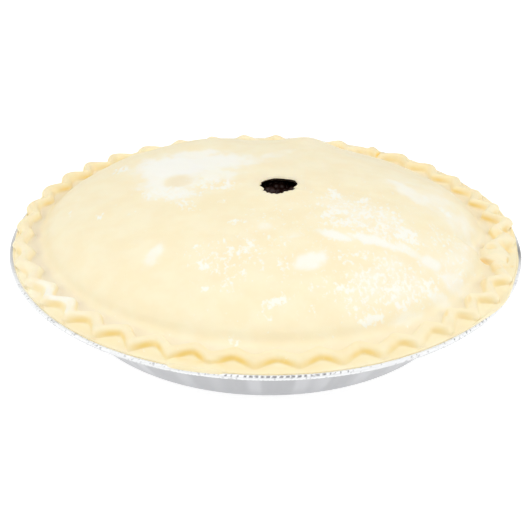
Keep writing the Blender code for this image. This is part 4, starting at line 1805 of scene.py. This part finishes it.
@dataclass
class Studio:
    """A white sweep, soft lights and the camera of the photograph."""

    camera_distance: float = 0.6
    camera_elevation: float = 29.925
    camera_roll: float = 0.652
    camera_nearest: float = 0.01
    lens: float = 87.54
    sensor_width: float = 36
    shift_x: float = -0.00036
    shift_y: float = 0.0464
    floor_size: float = 12.0
    floor_colour: str = "#FFFFFF"
    floor_white: str = "#B9B9B9"
    floor_glow: float = 0.8
    tent_colour: str = "#FFFFFF"
    tent_strength: float = 0.82
    opening_strength: float = 0.3
    back_strength: float = 0.4
    flag_strength: float = 0.02
    softboxes: tuple[Softbox, ...] = (
        Softbox("top", (0.0, -0.5, 1.0), 0.9, 4.4),
        Softbox("left", (-1.1, -0.1, 0.55), 0.8, 2.4),
        Softbox("right", (1.1, -0.1, 0.55), 0.8, 2.4),
    )

    def _floor(self) -> None:
        """Lays the white floor, lit a little from below as on a light table."""
        deselect_all()
        bpy.ops.mesh.primitive_plane_add(size=self.floor_size)
        floor = bpy.context.object
        floor.name = "studio_floor"
        material, _, shader = blank_material("white_sweep")
        shader.inputs["Base Color"].default_value = linear(self.floor_white)
        shader.inputs["Roughness"].default_value = 1.0
        shader.inputs["Specular IOR Level"].default_value = 0.0
        shader.inputs["Emission Color"].default_value = linear(self.floor_colour)
        shader.inputs["Emission Strength"].default_value = self.floor_glow
        floor.data.materials.append(material)

    def _tent(self) -> None:
        """Surrounds the pie with a white light tent.

        It is dimmer behind the pie and where it opens to the camera, and a low
        dark flag on either side gives the white-on-white foil its outline.
        """
        world = bpy.data.worlds.new("light_tent")
        world.use_nodes = True
        tree = world.node_tree
        way = add_node(tree, "TexCoord").outputs["Generated"]
        ways = add_node(tree, "SeparateXYZ", {"Vector": way}).outputs
        aside = add_node(tree, "Math", {0: ways["X"]}, operation="ABSOLUTE").outputs["Value"]
        # How each of four shares changes: with which way, from where to where, and its two values.
        changes = (
            (ways["Y"], -0.9, -0.1, self.opening_strength, self.tent_strength),
            (ways["Y"], 0.2, 0.9, 1.0, self.back_strength / self.tent_strength),
            (aside, 0.88, 0.95, 0.0, 1.0),
            (ways["Z"], 0.2, 0.35, 1.0, 0.0),
        )
        names = ("Value", "From Min", "From Max", "To Min", "To Max")
        ramps = [
            add_node(tree, "MapRange", dict(zip(names, change)), interpolation_type="SMOOTHSTEP")
            for change in changes
        ]
        front, back, beside, low = (ramp.outputs["Result"] for ramp in ramps)
        flag = add_node(tree, "Math", {0: beside, 1: low}, operation="MULTIPLY").outputs["Value"]
        left_open = {"Value": flag, "To Min": 1.0, "To Max": self.flag_strength}
        strength = add_node(tree, "MapRange", left_open, interpolation_type="SMOOTHSTEP").outputs["Result"]
        for share in (front, back):
            strength = add_node(tree, "Math", {0: strength, 1: share}, operation="MULTIPLY").outputs["Value"]
        background = tree.nodes["Background"]
        background.inputs["Color"].default_value = linear(self.tent_colour)
        tree.links.new(strength, background.inputs["Strength"])
        bpy.context.scene.world = world

    def _hang(self, box: Softbox) -> None:
        """Hangs one square softbox, turned to the pie.

        Args:
            box: The softbox.
        """
        light = bpy.data.lights.new(box.name, "AREA")
        light.size = box.width
        light.energy = box.power
        lamp = bpy.data.objects.new(box.name, light)
        bpy.context.scene.collection.objects.link(lamp)
        lamp.location = box.place
        lamp.rotation_euler = Vector(box.place).to_track_quat("Z", "Y").to_euler()

    def _camera(self) -> None:
        """Sets the camera at the photograph's height, distance and slight roll."""
        data = bpy.data.cameras.new("camera")
        camera = bpy.data.objects.new("camera", data)
        bpy.context.scene.collection.objects.link(camera)
        rise = math.radians(self.camera_elevation)
        back = Vector((0, -math.cos(rise), math.sin(rise)))
        facing = back.to_track_quat("Z", "Y").to_matrix().to_4x4()
        roll = Matrix.Rotation(math.radians(self.camera_roll), 4, "Z")
        camera.matrix_world = Matrix.Translation(back * self.camera_distance) @ facing @ roll
        data.sensor_width = self.sensor_width
        data.lens = self.lens
        data.shift_x = self.shift_x
        data.shift_y = self.shift_y
        data.clip_start = self.camera_nearest
        bpy.context.scene.camera = camera

    def build(self) -> None:
        """Sets the stage, the lights and the camera."""
        self._floor()
        self._tent()
        for box in self.softboxes:
            self._hang(box)
        self._camera()
        bpy.context.scene.view_settings.view_transform = "Standard"


def main() -> None:
    """Builds the pie piece by piece, then the studio round it."""
    logging.basicConfig(level=logging.INFO, format="%(name)s: %(message)s")
    dish = FoilDish()
    dish.build()
    base = PastryBase(dish)
    base.build()
    lid = PastryLid(dish)
    BrambleFilling(lid, base).build()
    lid.build()
    Studio().build()


if __name__ == "__main__":
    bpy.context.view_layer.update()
    main()
